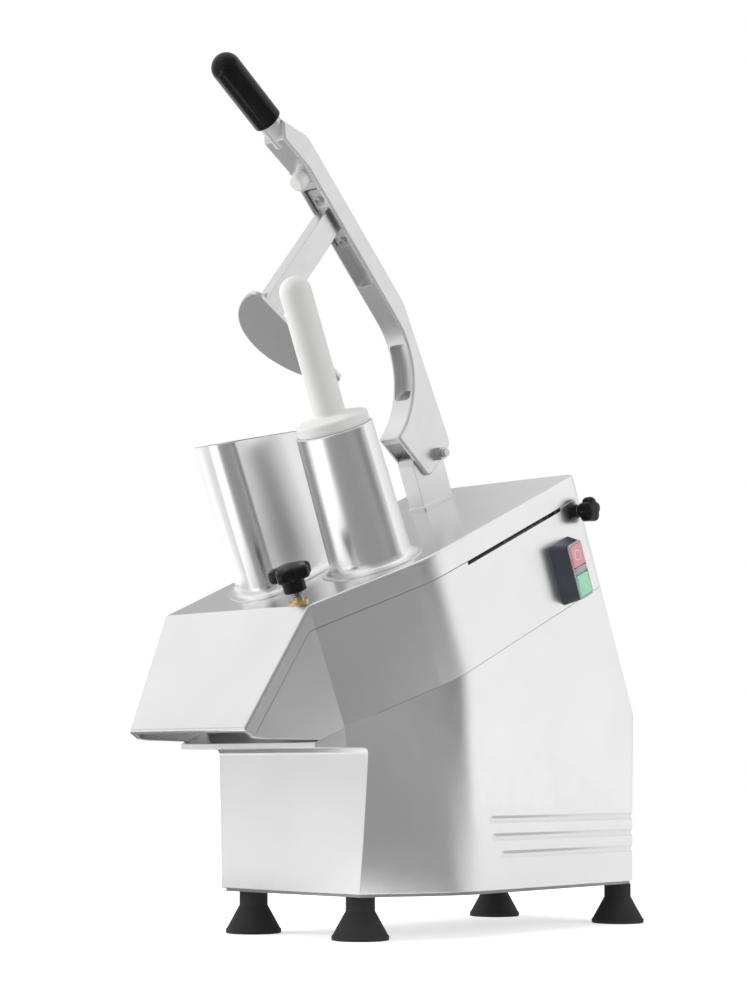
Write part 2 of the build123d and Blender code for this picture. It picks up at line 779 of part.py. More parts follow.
def make_lever():
    """Cast lever: bowed arm with a fork for the post, two pockets underneath and a stub for the grip."""
    points = [(lever_end_u, lever_end_n), (lever_top_u, lever_back_n), (lever_bend_u, lever_back_n),
              (lever_heel_u, lever_heel_n), (lever_tip_u, lever_tip_n), (lever_web_u, lever_web_n),
              (lever_bow_u, lever_under_n), (lever_rise_u, lever_under_n), (lever_lip_u, lever_lip_n)]
    radii = [0, lever_top_radius, lever_bend_radius, lever_heel_radius, lever_tip_radius,
             lever_edge_radius,
             lever_bow_radius, lever_rise_radius, lever_edge_radius]
    half = lever_width / 2
    body = extrude(rounded(points, radii), half, both=True)
    body = fillet(body.edges().group_by(Axis.Z)[-1] + body.edges().group_by(Axis.Z)[0], lever_edge_radius)
    way, start = grip_line()
    length = hypot(start[0] - stub_root_u, start[1] - stub_root_n) + grip_bore_depth - joint_gap
    body -= grip_frame(start) * rod(0, 0, -running_clearance, grip_length, grip_diameter)
    body += grip_frame((stub_root_u, stub_root_n)) * rod(0, 0, 0, length, stub_diameter / 2)
    slot = Pos(fork_depth_u - lever_back_n, 0) * Rectangle(2 * lever_back_n, 4 * lever_back_n)
    body -= extrude(slot, post_width / 2 + joint_gap, both=True)
    long_pocket = Pos((pocket_low_u + pocket_high_u) / 2, 0, 0) * (Plane.XZ * RectangleRounded(
        pocket_high_u - pocket_low_u, pocket_width, pocket_round))
    body -= extrude(long_pocket, lever_under_n + pocket_depth, dir=(0, 1, 0))
    centre = bow_centre()
    bow_pocket = Pos((bow_pocket_low_u + bow_pocket_high_u) / 2, 0, 0) * (Plane.XZ * RectangleRounded(
        bow_pocket_high_u - bow_pocket_low_u, pocket_width, pocket_round))
    bow = rod(centre[0], centre[1], -lever_width, lever_width, lever_bow_radius + pocket_depth)
    body -= extrude(bow_pocket, lever_back_n, dir=(0, 1, 0)) & bow
    body -= Pos(bumper_u, lever_under_n + bumper_socket) * Rot(90, 0, 0) * rod(
        0, 0, 0, bumper_length, bumper_diameter / 2 + running_clearance)
    for u in (press_screw_low_u, press_screw_high_u):
        body -= Pos(u, 0) * Rot(-90, 0, 0) * rod(
            0, 0, 0, lever_under_n + pocket_depth + press_screw_grip + joint_gap,
                                                 press_screw_diameter / 2)
    body -= rod(0, 0, -lever_width, lever_width, pivot_diameter / 2 + running_clearance)
    return body


def make_grip():
    """Moulded grip with a round end, pushed over the lever's stub."""
    start = grip_line()[1]
    radius = grip_diameter / 2
    body = rod(0, 0, 0, grip_length, radius)
    body = fillet(body.edges().group_by(Axis.Z)[-1], radius * pusher_dome_share)
    body = fillet(body.edges().group_by(Axis.Z)[0], chute_lip_round)
    body -= rod(0, 0, 0, grip_bore_depth, stub_diameter / 2 + running_clearance)
    return grip_frame(start) * body


def make_bumper():
    """Soft stop under the lever, seated in a shallow socket."""
    body = rod(0, 0, 0, bumper_length, bumper_diameter / 2)
    body = fillet(body.edges().group_by(Axis.Z)[-1], bumper_round)
    return Pos(bumper_u, lever_under_n + bumper_socket) * Rot(90, 0, 0) * body


def make_presser():
    """Presser: half-moon plate on a leaning arm with a gusset, and a foot that fits the lever's pocket."""
    pocket_n = lever_under_n + pocket_depth
    half = press_arm_width / 2
    foot = Pos((press_foot_low_u + press_foot_high_u) / 2, 0, 0) * (Plane.XZ * RectangleRounded(
        press_foot_high_u - press_foot_low_u, press_foot_width,
        pocket_round - (pocket_width - press_foot_width) / 2))
    body = extrude(Pos(0, pocket_n - press_foot_thick, 0) * foot, press_foot_thick, dir=(0, 1, 0))
    run = hypot(plate_front_u - plate_rear_u, plate_front_n - plate_rear_n)
    way = ((plate_front_u - plate_rear_u) / run, (plate_front_n - plate_rear_n) / run)
    low_n = plate_rear_n + (press_arm_low_u - plate_rear_u) * way[1] / way[0]
    rear_n = plate_rear_n + (press_arm_low_u - press_arm_length - plate_rear_u) * way[1] / way[0]
    top_n = pocket_n - press_foot_thick / 2
    arm = Polygon((press_arm_top_u, top_n), (press_arm_top_u - press_arm_length, top_n),
                  (press_arm_low_u - press_arm_length, rear_n), (press_arm_low_u, low_n), align=None)
    gusset = Polygon((press_arm_low_u, low_n),
                     (press_arm_low_u + gusset_reach, low_n + gusset_reach * way[1] / way[0]),
                     (press_arm_low_u, low_n + gusset_rise), align=None)
    body += extrude(arm, half, both=True) + extrude(gusset, gusset_thick / 2, both=True)
    radius = (run * run / 4 + plate_bulge * plate_bulge) / (2 * plate_bulge)
    moon = (Pos(0, plate_bulge - radius) * Circle(radius)) & (Pos(0, plate_bulge / 2)
        * Rectangle(2 * run, plate_bulge))
    moon = fillet(moon.vertices(), plate_tip_radius)
    middle = ((plate_front_u + plate_rear_u) / 2, (plate_front_n + plate_rear_n) / 2)
    frame = Plane(origin=(middle[0], middle[1], -plate_chord), x_dir=(way[0], way[1], 0),
                  z_dir=(way[1], -way[0], 0))
    plate = extrude(moon, plate_thick, dir=(0, 0, 1))
    body += frame.location * plate
    for u in (press_screw_low_u, press_screw_high_u):
        body -= Pos(u, 0) * Rot(-90, 0, 0) * rod(0, 0, 0, pocket_n,
                                                 press_screw_head / 2 + running_clearance) & (
            Pos(u, pocket_n - press_foot_thick - pocket_n)
                * Box(press_screw_head * 2, 2 * pocket_n, lever_width))
        body -= Pos(u, 0) * Rot(-90, 0, 0) * rod(0, 0, 0, pocket_n,
                                                 press_screw_diameter / 2 + running_clearance)
    return body


def screw(diameter, length, head, head_thick):
    """Socket screw standing on Z: shank upward from 0, head below."""
    body = rod(0, 0, 0, length, diameter / 2) + rod(0, 0, -head_thick, 0, head / 2)
    body = fillet(body.edges().group_by(Axis.Z)[0], head_thick * screw_round_share)
    socket = RegularPolygon(head * socket_share / 2, 6)
    return body - prism(socket, -head_thick, -head_thick + head_thick * socket_depth_share)


def coil(radius, rise_total):
    """Open coil spring, one tube swept along tangent arcs; prints its least self-gap."""
    def place(part):
        angle = 2 * pi * part / spring_arcs
        return Vector(radius * cos(angle), radius * sin(angle),
                      rise_total * part / (spring_arcs * spring_turns))

    def heading(part):
        angle = 2 * pi * part / spring_arcs
        climb = rise_total / (2 * pi * spring_turns)
        return Vector(-radius * sin(angle), radius * cos(angle), climb).normalized()

    edges = []
    for part in range(round(spring_arcs * spring_turns)):
        begin, end = place(part), place(part + 1)
        out, into = heading(part), heading(part + 1)
        chord = end - begin
        total = out + into
        square = 2 * (1 - out.dot(into))
        reach = (-2 * chord.dot(total) + sqrt(4 * chord.dot(total) ** 2 + 4 * square
                                              * chord.dot(chord))) / (2 * square)
        first = begin + out * reach
        last = end - into * reach
        middle = (first + last) / 2
        edges.append(TangentArc(begin, middle, tangent=out))
        edges.append(TangentArc(middle, end, tangent=last - first))
    path = Wire([edge for arc in edges for edge in arc.edges()])
    spots = [path.position_at(number / coil_samples) for number in range(coil_samples + 1)]
    apart = round(coil_samples / spring_turns / 2)
    gap = min((spots[i] - spots[j]).length for i in range(len(spots))
              for j in range(i + apart, len(spots))) - spring_wire
    print("lock_spring least self-gap", round(gap, 3), "mm")
    return sweep(Plane(origin=place(0), z_dir=heading(0)) * Circle(spring_wire / 2), path=path)


def make_disc():
    """Slicing disc with a slot at each blade, and its blades as separate pieces."""
    low = disc_top - disc_thick
    body = turned(rounded([(0, low), (disc_diameter / 2, low), (disc_diameter / 2, disc_top),
                           (0, disc_top)],
                          [0, disc_rim / 2, disc_rim / 2, 0]))
    body += rod(0, 0, low - disc_hub_depth, low, disc_hub_diameter / 2)
    body -= rod(0, 0, low - disc_hub_depth, disc_top - spindle_top_gap,
                spindle_diameter / 2 + running_clearance)
    blades = []
    middle = blade_inner + blade_length / 2
    for number in range(blade_count):
        turn = Rot(0, 0, 360 * number / blade_count)
        slot_round = blade_slot * slot_round_share
        slot = Pos(middle, blade_slot / 2) * RectangleRounded(blade_length + 2 * slot_round, blade_slot,
            slot_round)
        body -= turn * prism(slot, low - overrun, overrun)
        seat = Pos(middle, -blade_width / 2) * Rectangle(blade_length, blade_width)
        body -= turn * prism(seat, disc_top - blade_thick, overrun)
        edge = Polygon((-blade_width, 0), (blade_edge, 0), (blade_edge, blade_lift), (0, blade_thick),
                       (-blade_width, blade_thick), align=None)
        blade = extrude(Pos(blade_inner, 0, 0) * (Plane.YZ * edge), blade_length, dir=(1, 0, 0))
        blades.append(turn * (Pos(0, 0, disc_top - blade_thick) * blade))
    place = Pos(disc_x, disc_v)
    return place * body, [place * blade for blade in blades]


def make_ejector():
    """Ejector disc with curved-in vanes round a hub."""
    low = ejector_top - ejector_thick
    body = turned(rounded([(0, low), (ejector_diameter / 2, low), (ejector_diameter / 2, ejector_top),
                           (0, ejector_top)],
                          [0, disc_rim / 2, disc_rim / 2, 0]))
    body += rod(0, 0, low, ejector_top + ejector_hub_rise, ejector_hub_diameter / 2)
    reach = ejector_diameter / 2 - disc_rim
    for number in range(vane_count):
        vane = Pos(reach / 2, ejector_hub_diameter / 2 - vane_thick) * Rectangle(reach, vane_thick)
        body += Rot(0, 0, 360 * number / vane_count) * prism(vane, ejector_top - ejector_thick / 2,
            ejector_top + vane_rise)
    body &= rod(0, 0, low, ejector_top + ejector_hub_rise, ejector_diameter / 2)
    body -= rod(0, 0, low, ejector_top + ejector_hub_rise, spindle_diameter / 2 + running_clearance)
    return Pos(disc_x, disc_v) * body


def make_spindle():
    """Stepped spindle: seat for the pulley below, collar over the bearings, drive end for the discs."""
    radius = spindle_diameter / 2
    collar_low = -floor_depth - bearing_sink + spindle_collar_gap
    body = rod(0, 0, belt_level - belt_width, disc_top - spindle_top_gap - joint_gap, radius)
    body += rod(0, 0, collar_low, ejector_top - ejector_thick, spindle_collar_diameter / 2)
    body = fillet(body.edges().group_by(Axis.Z)[-1], chute_lip_round)
    return Pos(disc_x, disc_v) * body


def make_bearing(number):
    """Bearing ring below the floor, counted from the top."""
    high = -floor_depth - bearing_sink - number * bearing_width
    low = high - bearing_width
    points = [(spindle_diameter / 2 + running_clearance, low), (bearing_diameter / 2, low),
              (bearing_diameter / 2, high), (spindle_diameter / 2 + running_clearance, high)]
    return Pos(disc_x, disc_v) * turned(rounded(points, [0, chute_lip_round, chute_lip_round, 0]))


def make_pulley(diameter, bore, hub):
    """Flanged belt pulley with a dished web."""
    radius = diameter / 2
    low = belt_level - belt_width / 2 - joint_gap - pulley_flange_thick
    high = belt_level + belt_width / 2 + joint_gap + pulley_flange_thick
    body = turned(Polygon((0, low), (radius + pulley_flange, low),
                          (radius + pulley_flange, low + pulley_flange_thick),
                          (radius, low + pulley_flange_thick), (radius, high - pulley_flange_thick),
                          (radius + pulley_flange, high - pulley_flange_thick),
                          (radius + pulley_flange, high), (0, high),
                          align=None))
    if radius - pulley_rim > hub / 2:
        dish = Polygon((hub / 2, belt_level + pulley_web / 2),
                       (radius - pulley_rim, belt_level + pulley_web / 2),
                       (radius - pulley_rim, high), (hub / 2, high), align=None)
        body -= turned(dish)
        under = Polygon((hub / 2, belt_level - pulley_web / 2),
                        (radius - pulley_rim, belt_level - pulley_web / 2),
                        (radius - pulley_rim, low), (hub / 2, low), align=None)
        body -= turned(under)
    return body - rod(0, 0, low, high, bore / 2 + running_clearance)


def belt_face(grow):
    """Area inside the belt's run round both pulleys, drawn out by grow."""
    big = pulley_diameter / 2 + belt_gap + grow
    small = motor_pulley_diameter / 2 + belt_gap + grow
    distance = motor_v - disc_v
    lean = (big - small) / distance
    rest = sqrt(1 - lean * lean)
    hull = Polygon((-big * rest, big * lean), (big * rest, big * lean),
                   (small * rest, distance + small * lean),
                   (-small * rest, distance + small * lean), align=None)
    return hull + Circle(big) + Pos(0, distance) * Circle(small)


def make_belt():
    """Flat belt round both pulleys."""
    ring = belt_face(belt_thick) - belt_face(0)
    return Pos(disc_x, disc_v) * prism(ring, belt_level - belt_width / 2, belt_level + belt_width / 2)


def make_motor():
    """Motor: barrel with drawn end bells under its plate, hollow for the shaft."""
    high = -motor_plate_depth - motor_plate_thick
    low = high - motor_length
    radius = motor_diameter / 2
    bell = radius * motor_bell_share
    points = [(0, low), (bell, low), (radius, low + motor_bell), (radius, high - motor_bell),
              (bell, high), (0, high)]
    body = turned(rounded(points, [0, bumper_round, 0, 0, bumper_round, 0]))
    body -= rod(0, 0, low + motor_bell, high, motor_shaft_diameter / 2 + running_clearance)
    return Pos(disc_x, motor_v) * body


def make_motor_plate():
    """Plate that hangs the motor from four posts of the head housing."""
    width = motor_plate_right - motor_plate_left
    length = motor_plate_rear - motor_plate_front
    face = Pos((motor_plate_left + motor_plate_right) / 2,
               (motor_plate_front + motor_plate_rear) / 2) * RectangleRounded(
        width, length, motor_post_inset)
    body = prism(face, -motor_plate_depth - motor_plate_thick, -motor_plate_depth)
    body -= rod(disc_x, motor_v, -motor_plate_depth - overrun, overrun, motor_plate_bore / 2)
    for x, v in motor_posts():
        body -= rod(x, v, -motor_plate_depth - overrun, overrun,
                    motor_screw_diameter / 2 + running_clearance)
    return body


def make_bottom_plate():
    """Bottom plate with vent slots, held by the screws of the feet."""
    points = [(-sole_front_left, base_front_y), (sole_front_right, base_front_y),
              (sole_bulge_x, sole_bulge_y),
              (sole_rear_right, base_rear_y), (-sole_rear_left, base_rear_y)]
    face = offset(rounded(points, [0, 0, bulge_radius, rear_radius, rear_radius]), -plate_inset)
    for number in range(vent_count):
        shift = vent_pitch * (number - (vent_count - 1) / 2)
        face -= Pos(vent_x + shift, vent_y) * Rot(0, 0, 90) * SlotOverall(vent_length, vent_width)
    for x, y in feet_places():
        face -= Pos(x, y) * Circle(foot_screw_diameter / 2 + running_clearance)
    return prism(face, foot_height, base_floor)


def make_foot(x, y):
    """Bell-shaped rubber foot with a recess for its screw."""
    radius = foot_diameter / 2
    neck = foot_neck_diameter / 2
    recess = foot_recess_diameter / 2
    bore = foot_screw_diameter / 2 + running_clearance
    bend = (neck + (radius - neck) * foot_flare_share,
            foot_rim + (foot_neck_z - foot_rim) * foot_flare_share)
    edges = [Line((recess, 0), (radius, 0)), Line((radius, 0), (radius, foot_rim)),
             ThreePointArc((radius, foot_rim), bend, (neck, foot_neck_z)),
             Line((neck, foot_neck_z), (neck, foot_height)),
             Line((neck, foot_height), (bore, foot_height)),
             Line((bore, foot_height), (bore, foot_recess)),
             Line((bore, foot_recess), (recess, foot_recess)), Line((recess, foot_recess), (recess, 0))]
    return Pos(x, y) * turned(make_face(edges))


def make_switch():
    """Switch: body with sloped sides, thin front frame and two buttons."""
    back = Pos(0, 0, -switch_back_depth) * Rectangle(switch_back_width, switch_back_height)
    wide = RectangleRounded(switch_width, switch_height, switch_corner)
    slim = RectangleRounded(switch_width - 2 * switch_side_slope, switch_height - 2 * switch_end_slope,
                            switch_corner - switch_end_slope / 2)
    body = loft([wide, Pos(0, 0, switch_proud) * slim])
    body += extrude(back, switch_back_depth, dir=(0, 0, 1))
    front = Pos(0, 0, switch_proud) * slim
    frame = extrude(front, frame_thick, dir=(0, 0, 1))
    deep = button_depth + button_travel + joint_gap
    face = switch_proud + frame_thick
    buttons = []
    for way in (1, -1):
        place = Pos(0, way * button_pitch / 2)
        hole = place * RectangleRounded(button_width + 2 * button_clearance,
                                        button_height + 2 * button_clearance,
                                        button_corner + button_clearance)
        cut = prism(hole, face - deep, face + overrun)
        body -= cut
        frame -= cut
        cap = prism(place * RectangleRounded(button_width, button_height, button_corner),
                    face + button_proud - button_depth, face + button_proud)
        buttons.append(fillet(cap.edges().group_by(Axis.Z)[-1], button_proud / 2))
    return SWITCH * body, SWITCH * frame, SWITCH * buttons[0], SWITCH * buttons[1]


def make_gland():
    """Cable inlet at the rear: flanged, tapered nose with a bore."""
    nose = gland_nose_diameter / 2
    flange = gland_diameter / 2
    points = [(gland_bore / 2, -base_wall), (gland_shank / 2 - running_clearance, -base_wall),
              (gland_shank / 2 - running_clearance, 0), (flange, 0), (flange, gland_flange_thick),
              (nose, gland_flange_thick), (nose * motor_bell_share, gland_length),
              (gland_bore / 2, gland_length)]
    face = rounded(points, [0, 0, 0, 0, chute_lip_round, chute_foot, chute_lip_round, 0])
    return Pos(gland_x, base_rear_y, gland_z) * Rot(-90, 0, 0) * turned(face)


nodes = {}


def save(node, shape):
    """Keep one node; a list becomes a group of separate solids."""
    nodes[node] = Compound([solid for piece in shape for solid in piece.solids()]) if isinstance(shape,
        list) else shape


# Base, feet and bottom plate
save("base_housing", make_base())
save("bottom_plate", make_bottom_plate())
for name, (foot_x, foot_y) in zip(("front_left", "front_right", "rear_left", "rear_right"),
                                  feet_places()):
    save("foot_" + name, make_foot(foot_x, foot_y))
foot_screw = screw(foot_screw_diameter - 2 * running_clearance,
                   base_floor - foot_recess + foot_screw_grip,
                   foot_screw_head, foot_screw_head_thick)
save("foot_screws", [Pos(x, y, foot_recess) * foot_screw for x, y in feet_places()])
save("cable_gland", make_gland())

# Head housing with switch and drive
save("head_housing", make_housing())
switch_body, switch_frame, button_stop, button_start = make_switch()
save("switch_body", switch_body)
save("switch_frame", switch_frame)
save("button_stop", button_stop)
save("button_start", button_start)
save("bearing_upper", HEAD * make_bearing(0))
save("bearing_lower", HEAD * make_bearing(1))
save("motor_plate", HEAD * make_motor_plate())
motor_screw = screw(motor_screw_diameter - 2 * running_clearance, motor_plate_thick + motor_screw_grip,
                    motor_screw_head,
                    motor_screw_head_thick)
save("motor_screws", [HEAD * Pos(x, v, -motor_plate_depth - motor_plate_thick) * motor_screw for x,
                      v in motor_posts()])
save("motor_body", HEAD * make_motor())
save("drive_belt", HEAD * make_belt())

# Turning parts of the drive
save("spindle", HEAD * make_spindle())
save("spindle_pulley", HEAD * Pos(disc_x, disc_v)
     * make_pulley(pulley_diameter, spindle_diameter, pulley_hub_diameter))
save("ejector_disc", HEAD * make_ejector())
slicing_disc, slicing_blades = make_disc()
save("slicing_disc", HEAD * slicing_disc)
save("slicing_blades", [HEAD * blade for blade in slicing_blades])
save("motor_shaft", HEAD * rod(disc_x, motor_v,
                               -motor_plate_depth - motor_plate_thick - motor_length + motor_bell
                               + joint_gap,
                               belt_level + belt_width, motor_shaft_diameter / 2))
save("motor_pulley", HEAD * Pos(disc_x, motor_v)
     * make_pulley(motor_pulley_diameter, motor_shaft_diameter,
                                                                motor_pulley_diameter))

# Cover with its chutes and the hinge
save("cover", HEAD * make_cover())
save("d_chute", HEAD * make_d_chute())
save("round_chute", HEAD * make_round_chute())
save("pusher", HEAD * make_pusher())
wall_x = bulge_x - (hinge_v - bulge_v) * tan(side_angle)
hub_x = wall_x + hinge_hub_gap
pin_end = hub_x + hinge_hub_length / 2
save("hinge_pin", HEAD * cross_rod(hinge_pin_left, pin_end, hinge_v, hinge_w, hinge_pin_diameter / 2))
hinge_knob = star(hinge_knob_diameter, hinge_knob_thick, hinge_hub_diameter, hinge_hub_length)
hinge_knob -= rod(0, 0, 0, pin_end - hub_x, hinge_pin_diameter / 2)
save("hinge_knob", HEAD * Pos(hub_x, hinge_v, hinge_w) * Rot(0, 90, 0) * hinge_knob)

# Lock knob
LOCK = HEAD * Pos(lock_x, lock_v)
stud_top = lock_hub_low + stud_in_knob
bore = stud_diameter / 2 + running_clearance
bush = rod(0, 0, 0, bush_thick, bush_diameter / 2) + rod(0, 0, bush_thick, bush_neck_top,
                                                         bush_neck_diameter / 2)
bush = fillet(bush.edges().group_by(Axis.Z)[-1], chute_lip_round / 2)
bush += rod(0, 0, -cover_top, 0, bush_shank_diameter / 2 - running_clearance)
save("lock_bush", LOCK * (bush - rod(0, 0, -cover_top, bush_neck_top, bore)))
save("lock_stud", LOCK * rod(0, 0, stud_low, stud_top, stud_diameter / 2))
lock_knob = star(lock_knob_diameter, lock_knob_thick, lock_hub_diameter, lock_hub_length)
save("lock_knob", LOCK * Pos(0, 0, lock_hub_low)
     * (lock_knob - rod(0, 0, 0, stud_in_knob, stud_diameter / 2)))
coil_low = bush_neck_top + spring_wire / 2
coil_high = lock_hub_low - joint_gap - spring_wire / 2
save("lock_spring", LOCK * Pos(0, 0, coil_low)
     * coil((spring_diameter - spring_wire) / 2, coil_high - coil_low))

# Lever, grip and presser
save("lever_post", HEAD * make_post())
save("lever_arm", LEVER * make_lever())
save("lever_grip", LEVER * make_grip())
save("lever_bumper", LEVER * make_bumper())
save("presser", LEVER * make_presser())
pocket_floor = lever_under_n + pocket_depth
press_screw = screw(press_screw_diameter - 2 * running_clearance, press_foot_thick + press_screw_grip,
                    press_screw_head,
                    press_screw_head_thick)
save("presser_screws", [LEVER * Pos(u, pocket_floor - press_foot_thick) * Rot(-90, 0, 0) * press_screw
                        for u in (press_screw_low_u, press_screw_high_u)])
lever_half = lever_width / 2
bolt_length = lever_width + pivot_nut_thick + pivot_tail
bolt = screw(pivot_diameter, bolt_length, pivot_head_diameter, pivot_head_thick)
save("pivot_bolt", LEVER * Pos(0, 0, lever_half) * Rot(180, 0, 0) * bolt)
nut = hexagon(0, 0, 0, pivot_nut_thick, pivot_nut_diameter) - rod(0, 0, 0, pivot_nut_thick,
    pivot_diameter / 2)
save("pivot_nut", LEVER * Pos(0, 0, -lever_half) * Rot(180, 0, 0) * nut)

# The origin goes on the floor under the middle of the whole
whole = Compound([solid for shape in nodes.values() for solid in shape.solids()]).bounding_box()
home = Pos(-(whole.min.X + whole.max.X) / 2, -(whole.min.Y + whole.max.Y) / 2, -whole.min.Z)
os.makedirs("parts", exist_ok=True)
for node, shape in nodes.items():
    export_step(home * shape, "parts/" + node + ".step")
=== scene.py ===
"""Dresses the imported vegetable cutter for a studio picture: finishes, moulded pieces and light."""

import json
import logging
import math
from dataclasses import dataclass, field
from enum import Enum

import bmesh
import bpy
from mathutils import Matrix, Vector
from mathutils.bvhtree import BVHTree


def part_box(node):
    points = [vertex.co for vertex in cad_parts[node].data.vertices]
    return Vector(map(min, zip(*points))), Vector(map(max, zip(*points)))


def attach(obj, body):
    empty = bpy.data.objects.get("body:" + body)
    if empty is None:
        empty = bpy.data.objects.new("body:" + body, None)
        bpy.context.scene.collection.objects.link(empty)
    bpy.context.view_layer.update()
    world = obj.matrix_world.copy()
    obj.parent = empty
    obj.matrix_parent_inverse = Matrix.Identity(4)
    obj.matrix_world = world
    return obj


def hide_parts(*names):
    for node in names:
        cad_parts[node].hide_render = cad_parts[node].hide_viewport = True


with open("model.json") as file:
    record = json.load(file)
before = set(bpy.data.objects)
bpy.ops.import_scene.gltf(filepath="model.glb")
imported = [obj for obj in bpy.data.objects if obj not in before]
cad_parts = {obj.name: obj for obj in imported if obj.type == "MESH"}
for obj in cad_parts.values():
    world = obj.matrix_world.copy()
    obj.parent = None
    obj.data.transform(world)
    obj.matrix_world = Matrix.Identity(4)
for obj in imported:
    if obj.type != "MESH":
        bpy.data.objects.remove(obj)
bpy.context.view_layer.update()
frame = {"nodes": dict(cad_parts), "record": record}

LOG = logging.getLogger("vegetable_cutter")
MM = 0.001

# The head's own frame: x across, v up its slope, w square to its cover, whose top is w = 0
TILT = math.radians(23.5)
HEAD_ORIGIN = Vector((-0.028571, -0.209394, 0.3005))
HEAD_X = Vector((1.0, 0.0, 0.0))
HEAD_V = Vector((0.0, math.cos(TILT), math.sin(TILT)))
HEAD_W = Vector((0.0, -math.sin(TILT), math.cos(TILT)))

Triple = tuple[float, float, float]
Colour = Triple
Point = tuple[float, float]
Loop = list[Vector]

# Sign along x and word for each side
SIDES = ((1.0, "right"), (-1.0, "left"))


def axes(origin: Vector, across: Vector, up: Vector) -> Matrix:
    """Make a placing matrix from an origin and two directions.

    Args:
        origin: Origin in metres.
        across: Direction of the local x axis.
        up: Direction of the local z axis.

    Returns:
        Matrix that places local millimetres.
    """
    rows = Matrix((across, up.cross(across), up)).transposed().to_4x4()
    rows.translation = origin
    return rows @ Matrix.Scale(MM, 4)


def head_point(x: float, v: float, w: float) -> Vector:
    """Give the point in metres of a place on the head in millimetres."""
    return HEAD_ORIGIN + (HEAD_X * x + HEAD_V * v + HEAD_W * w) * MM


class Graph:
    """Wires the node tree of one material.

    Attributes:
        noise_ends: Noise values that count as fully dark and fully bright.
        rounding_samples: Samples of the rounding that edges show.
    """

    noise_ends: Point = (0.3, 0.7)
    rounding_samples: int = 6

    def __init__(self, name: str) -> None:
        """Start an empty tree with a principled shader.

        Args:
            name: Name of the material.
        """
        self.material = bpy.data.materials.new(name)
        self.material.use_nodes = True
        self.tree = self.material.node_tree
        self.tree.nodes.clear()
        self.shader = self.add("ShaderNodeBsdfPrincipled")
        output = self.add("ShaderNodeOutputMaterial")
        self.tree.links.new(self.shader.outputs["BSDF"], output.inputs["Surface"])

    def add(self, kind: str) -> bpy.types.Node:
        """Add one node of Blender's type name."""
        return self.tree.nodes.new(kind)

    def set(self, **values: object) -> None:
        """Set plain values on the shader's own sockets.

        Args:
            values: Socket names with underscores for spaces, and their values.
        """
        for key, value in values.items():
            socket = key.replace("_", " ").title().replace("Ior", "IOR")
            self.shader.inputs[socket].default_value = value

    def place(self, stretch: Triple = (1.0, 1.0, 1.0), turn: float = 0.0) -> bpy.types.NodeSocket:
        """Object coordinates, turned about X and stretched.

        Args:
            stretch: Scale along each axis.
            turn: Turn about X in radians.

        Returns:
            Vector socket for textures.
        """
        coordinate = self.add("ShaderNodeTexCoord")
        mapping = self.add("ShaderNodeMapping")
        mapping.vector_type = "TEXTURE"
        mapping.inputs["Rotation"].default_value = (turn, 0.0, 0.0)
        mapping.inputs["Scale"].default_value = tuple(1.0 / value for value in stretch)
        self.tree.links.new(coordinate.outputs["Object"], mapping.inputs["Vector"])
        return mapping.outputs["Vector"]

    def noise(self, vector: bpy.types.NodeSocket, scale: float,
              detail: float = 3.0) -> bpy.types.NodeSocket:
        """Noise texture.

        Args:
            vector: Coordinates to use.
            scale: Waves in each metre.
            detail: Number of finer layers.

        Returns:
            Grey value socket.
        """
        node = self.add("ShaderNodeTexNoise")
        node.inputs["Scale"].default_value = scale
        node.inputs["Detail"].default_value = detail
        self.tree.links.new(vector, node.inputs["Vector"])
        return node.outputs["Fac"]

    def spread(self, value: bpy.types.NodeSocket, low: float,
               high: float) -> bpy.types.NodeSocket:
        """Carry a noise value on to a range.

        Args:
            value: Grey value from noise.
            low: Result for dark noise.
            high: Result for bright noise.

        Returns:
            Value socket.
        """
        node = self.add("ShaderNodeMapRange")
        ends = zip(("From Min", "From Max", "To Min", "To Max"), (*self.noise_ends, low, high))
        for name, end in ends:
            node.inputs[name].default_value = end
        self.tree.links.new(value, node.inputs["Value"])
        return node.outputs["Result"]

    def tint(self, value: bpy.types.NodeSocket, dark: Colour, light: Colour) -> None:
        """Vary the base colour between two tones.

        Args:
            value: Grey value from noise.
            dark: Colour for dark noise.
            light: Colour for bright noise.
        """
        ramp = self.add("ShaderNodeValToRGB")
        stops = zip(ramp.color_ramp.elements, self.noise_ends, (dark, light))
        for element, position, colour in stops:
            element.position = position
            element.color = (*colour, 1.0)
        self.tree.links.new(value, ramp.inputs["Fac"])
        self.tree.links.new(ramp.outputs["Color"], self.shader.inputs["Base Color"])

    def rough(self, value: bpy.types.NodeSocket) -> None:
        """Take the roughness from a socket."""
        self.tree.links.new(value, self.shader.inputs["Roughness"])

    def bump(self, layers: list[tuple[bpy.types.NodeSocket, float]], edge: float = 0.0) -> None:
        """Stack bump layers on the shader's normal.

        Args:
            layers: Height sockets with the depth of each in metres.
            edge: Radius in metres of the rounding that edges show, 0 for none.
        """
        normal = None
        if edge:
            rounding = self.add("ShaderNodeBevel")
            rounding.samples = self.rounding_samples
            rounding.inputs["Radius"].default_value = edge
            normal = rounding.outputs["Normal"]
        for height, depth in layers:
            node = self.add("ShaderNodeBump")
            node.inputs["Strength"].default_value = 1.0
            node.inputs["Distance"].default_value = depth
            self.tree.links.new(height, node.inputs["Height"])
            if normal is not None:
                self.tree.links.new(normal, node.inputs["Normal"])
            normal = node.outputs["Normal"]
        self.tree.links.new(normal, self.shader.inputs["Normal"])


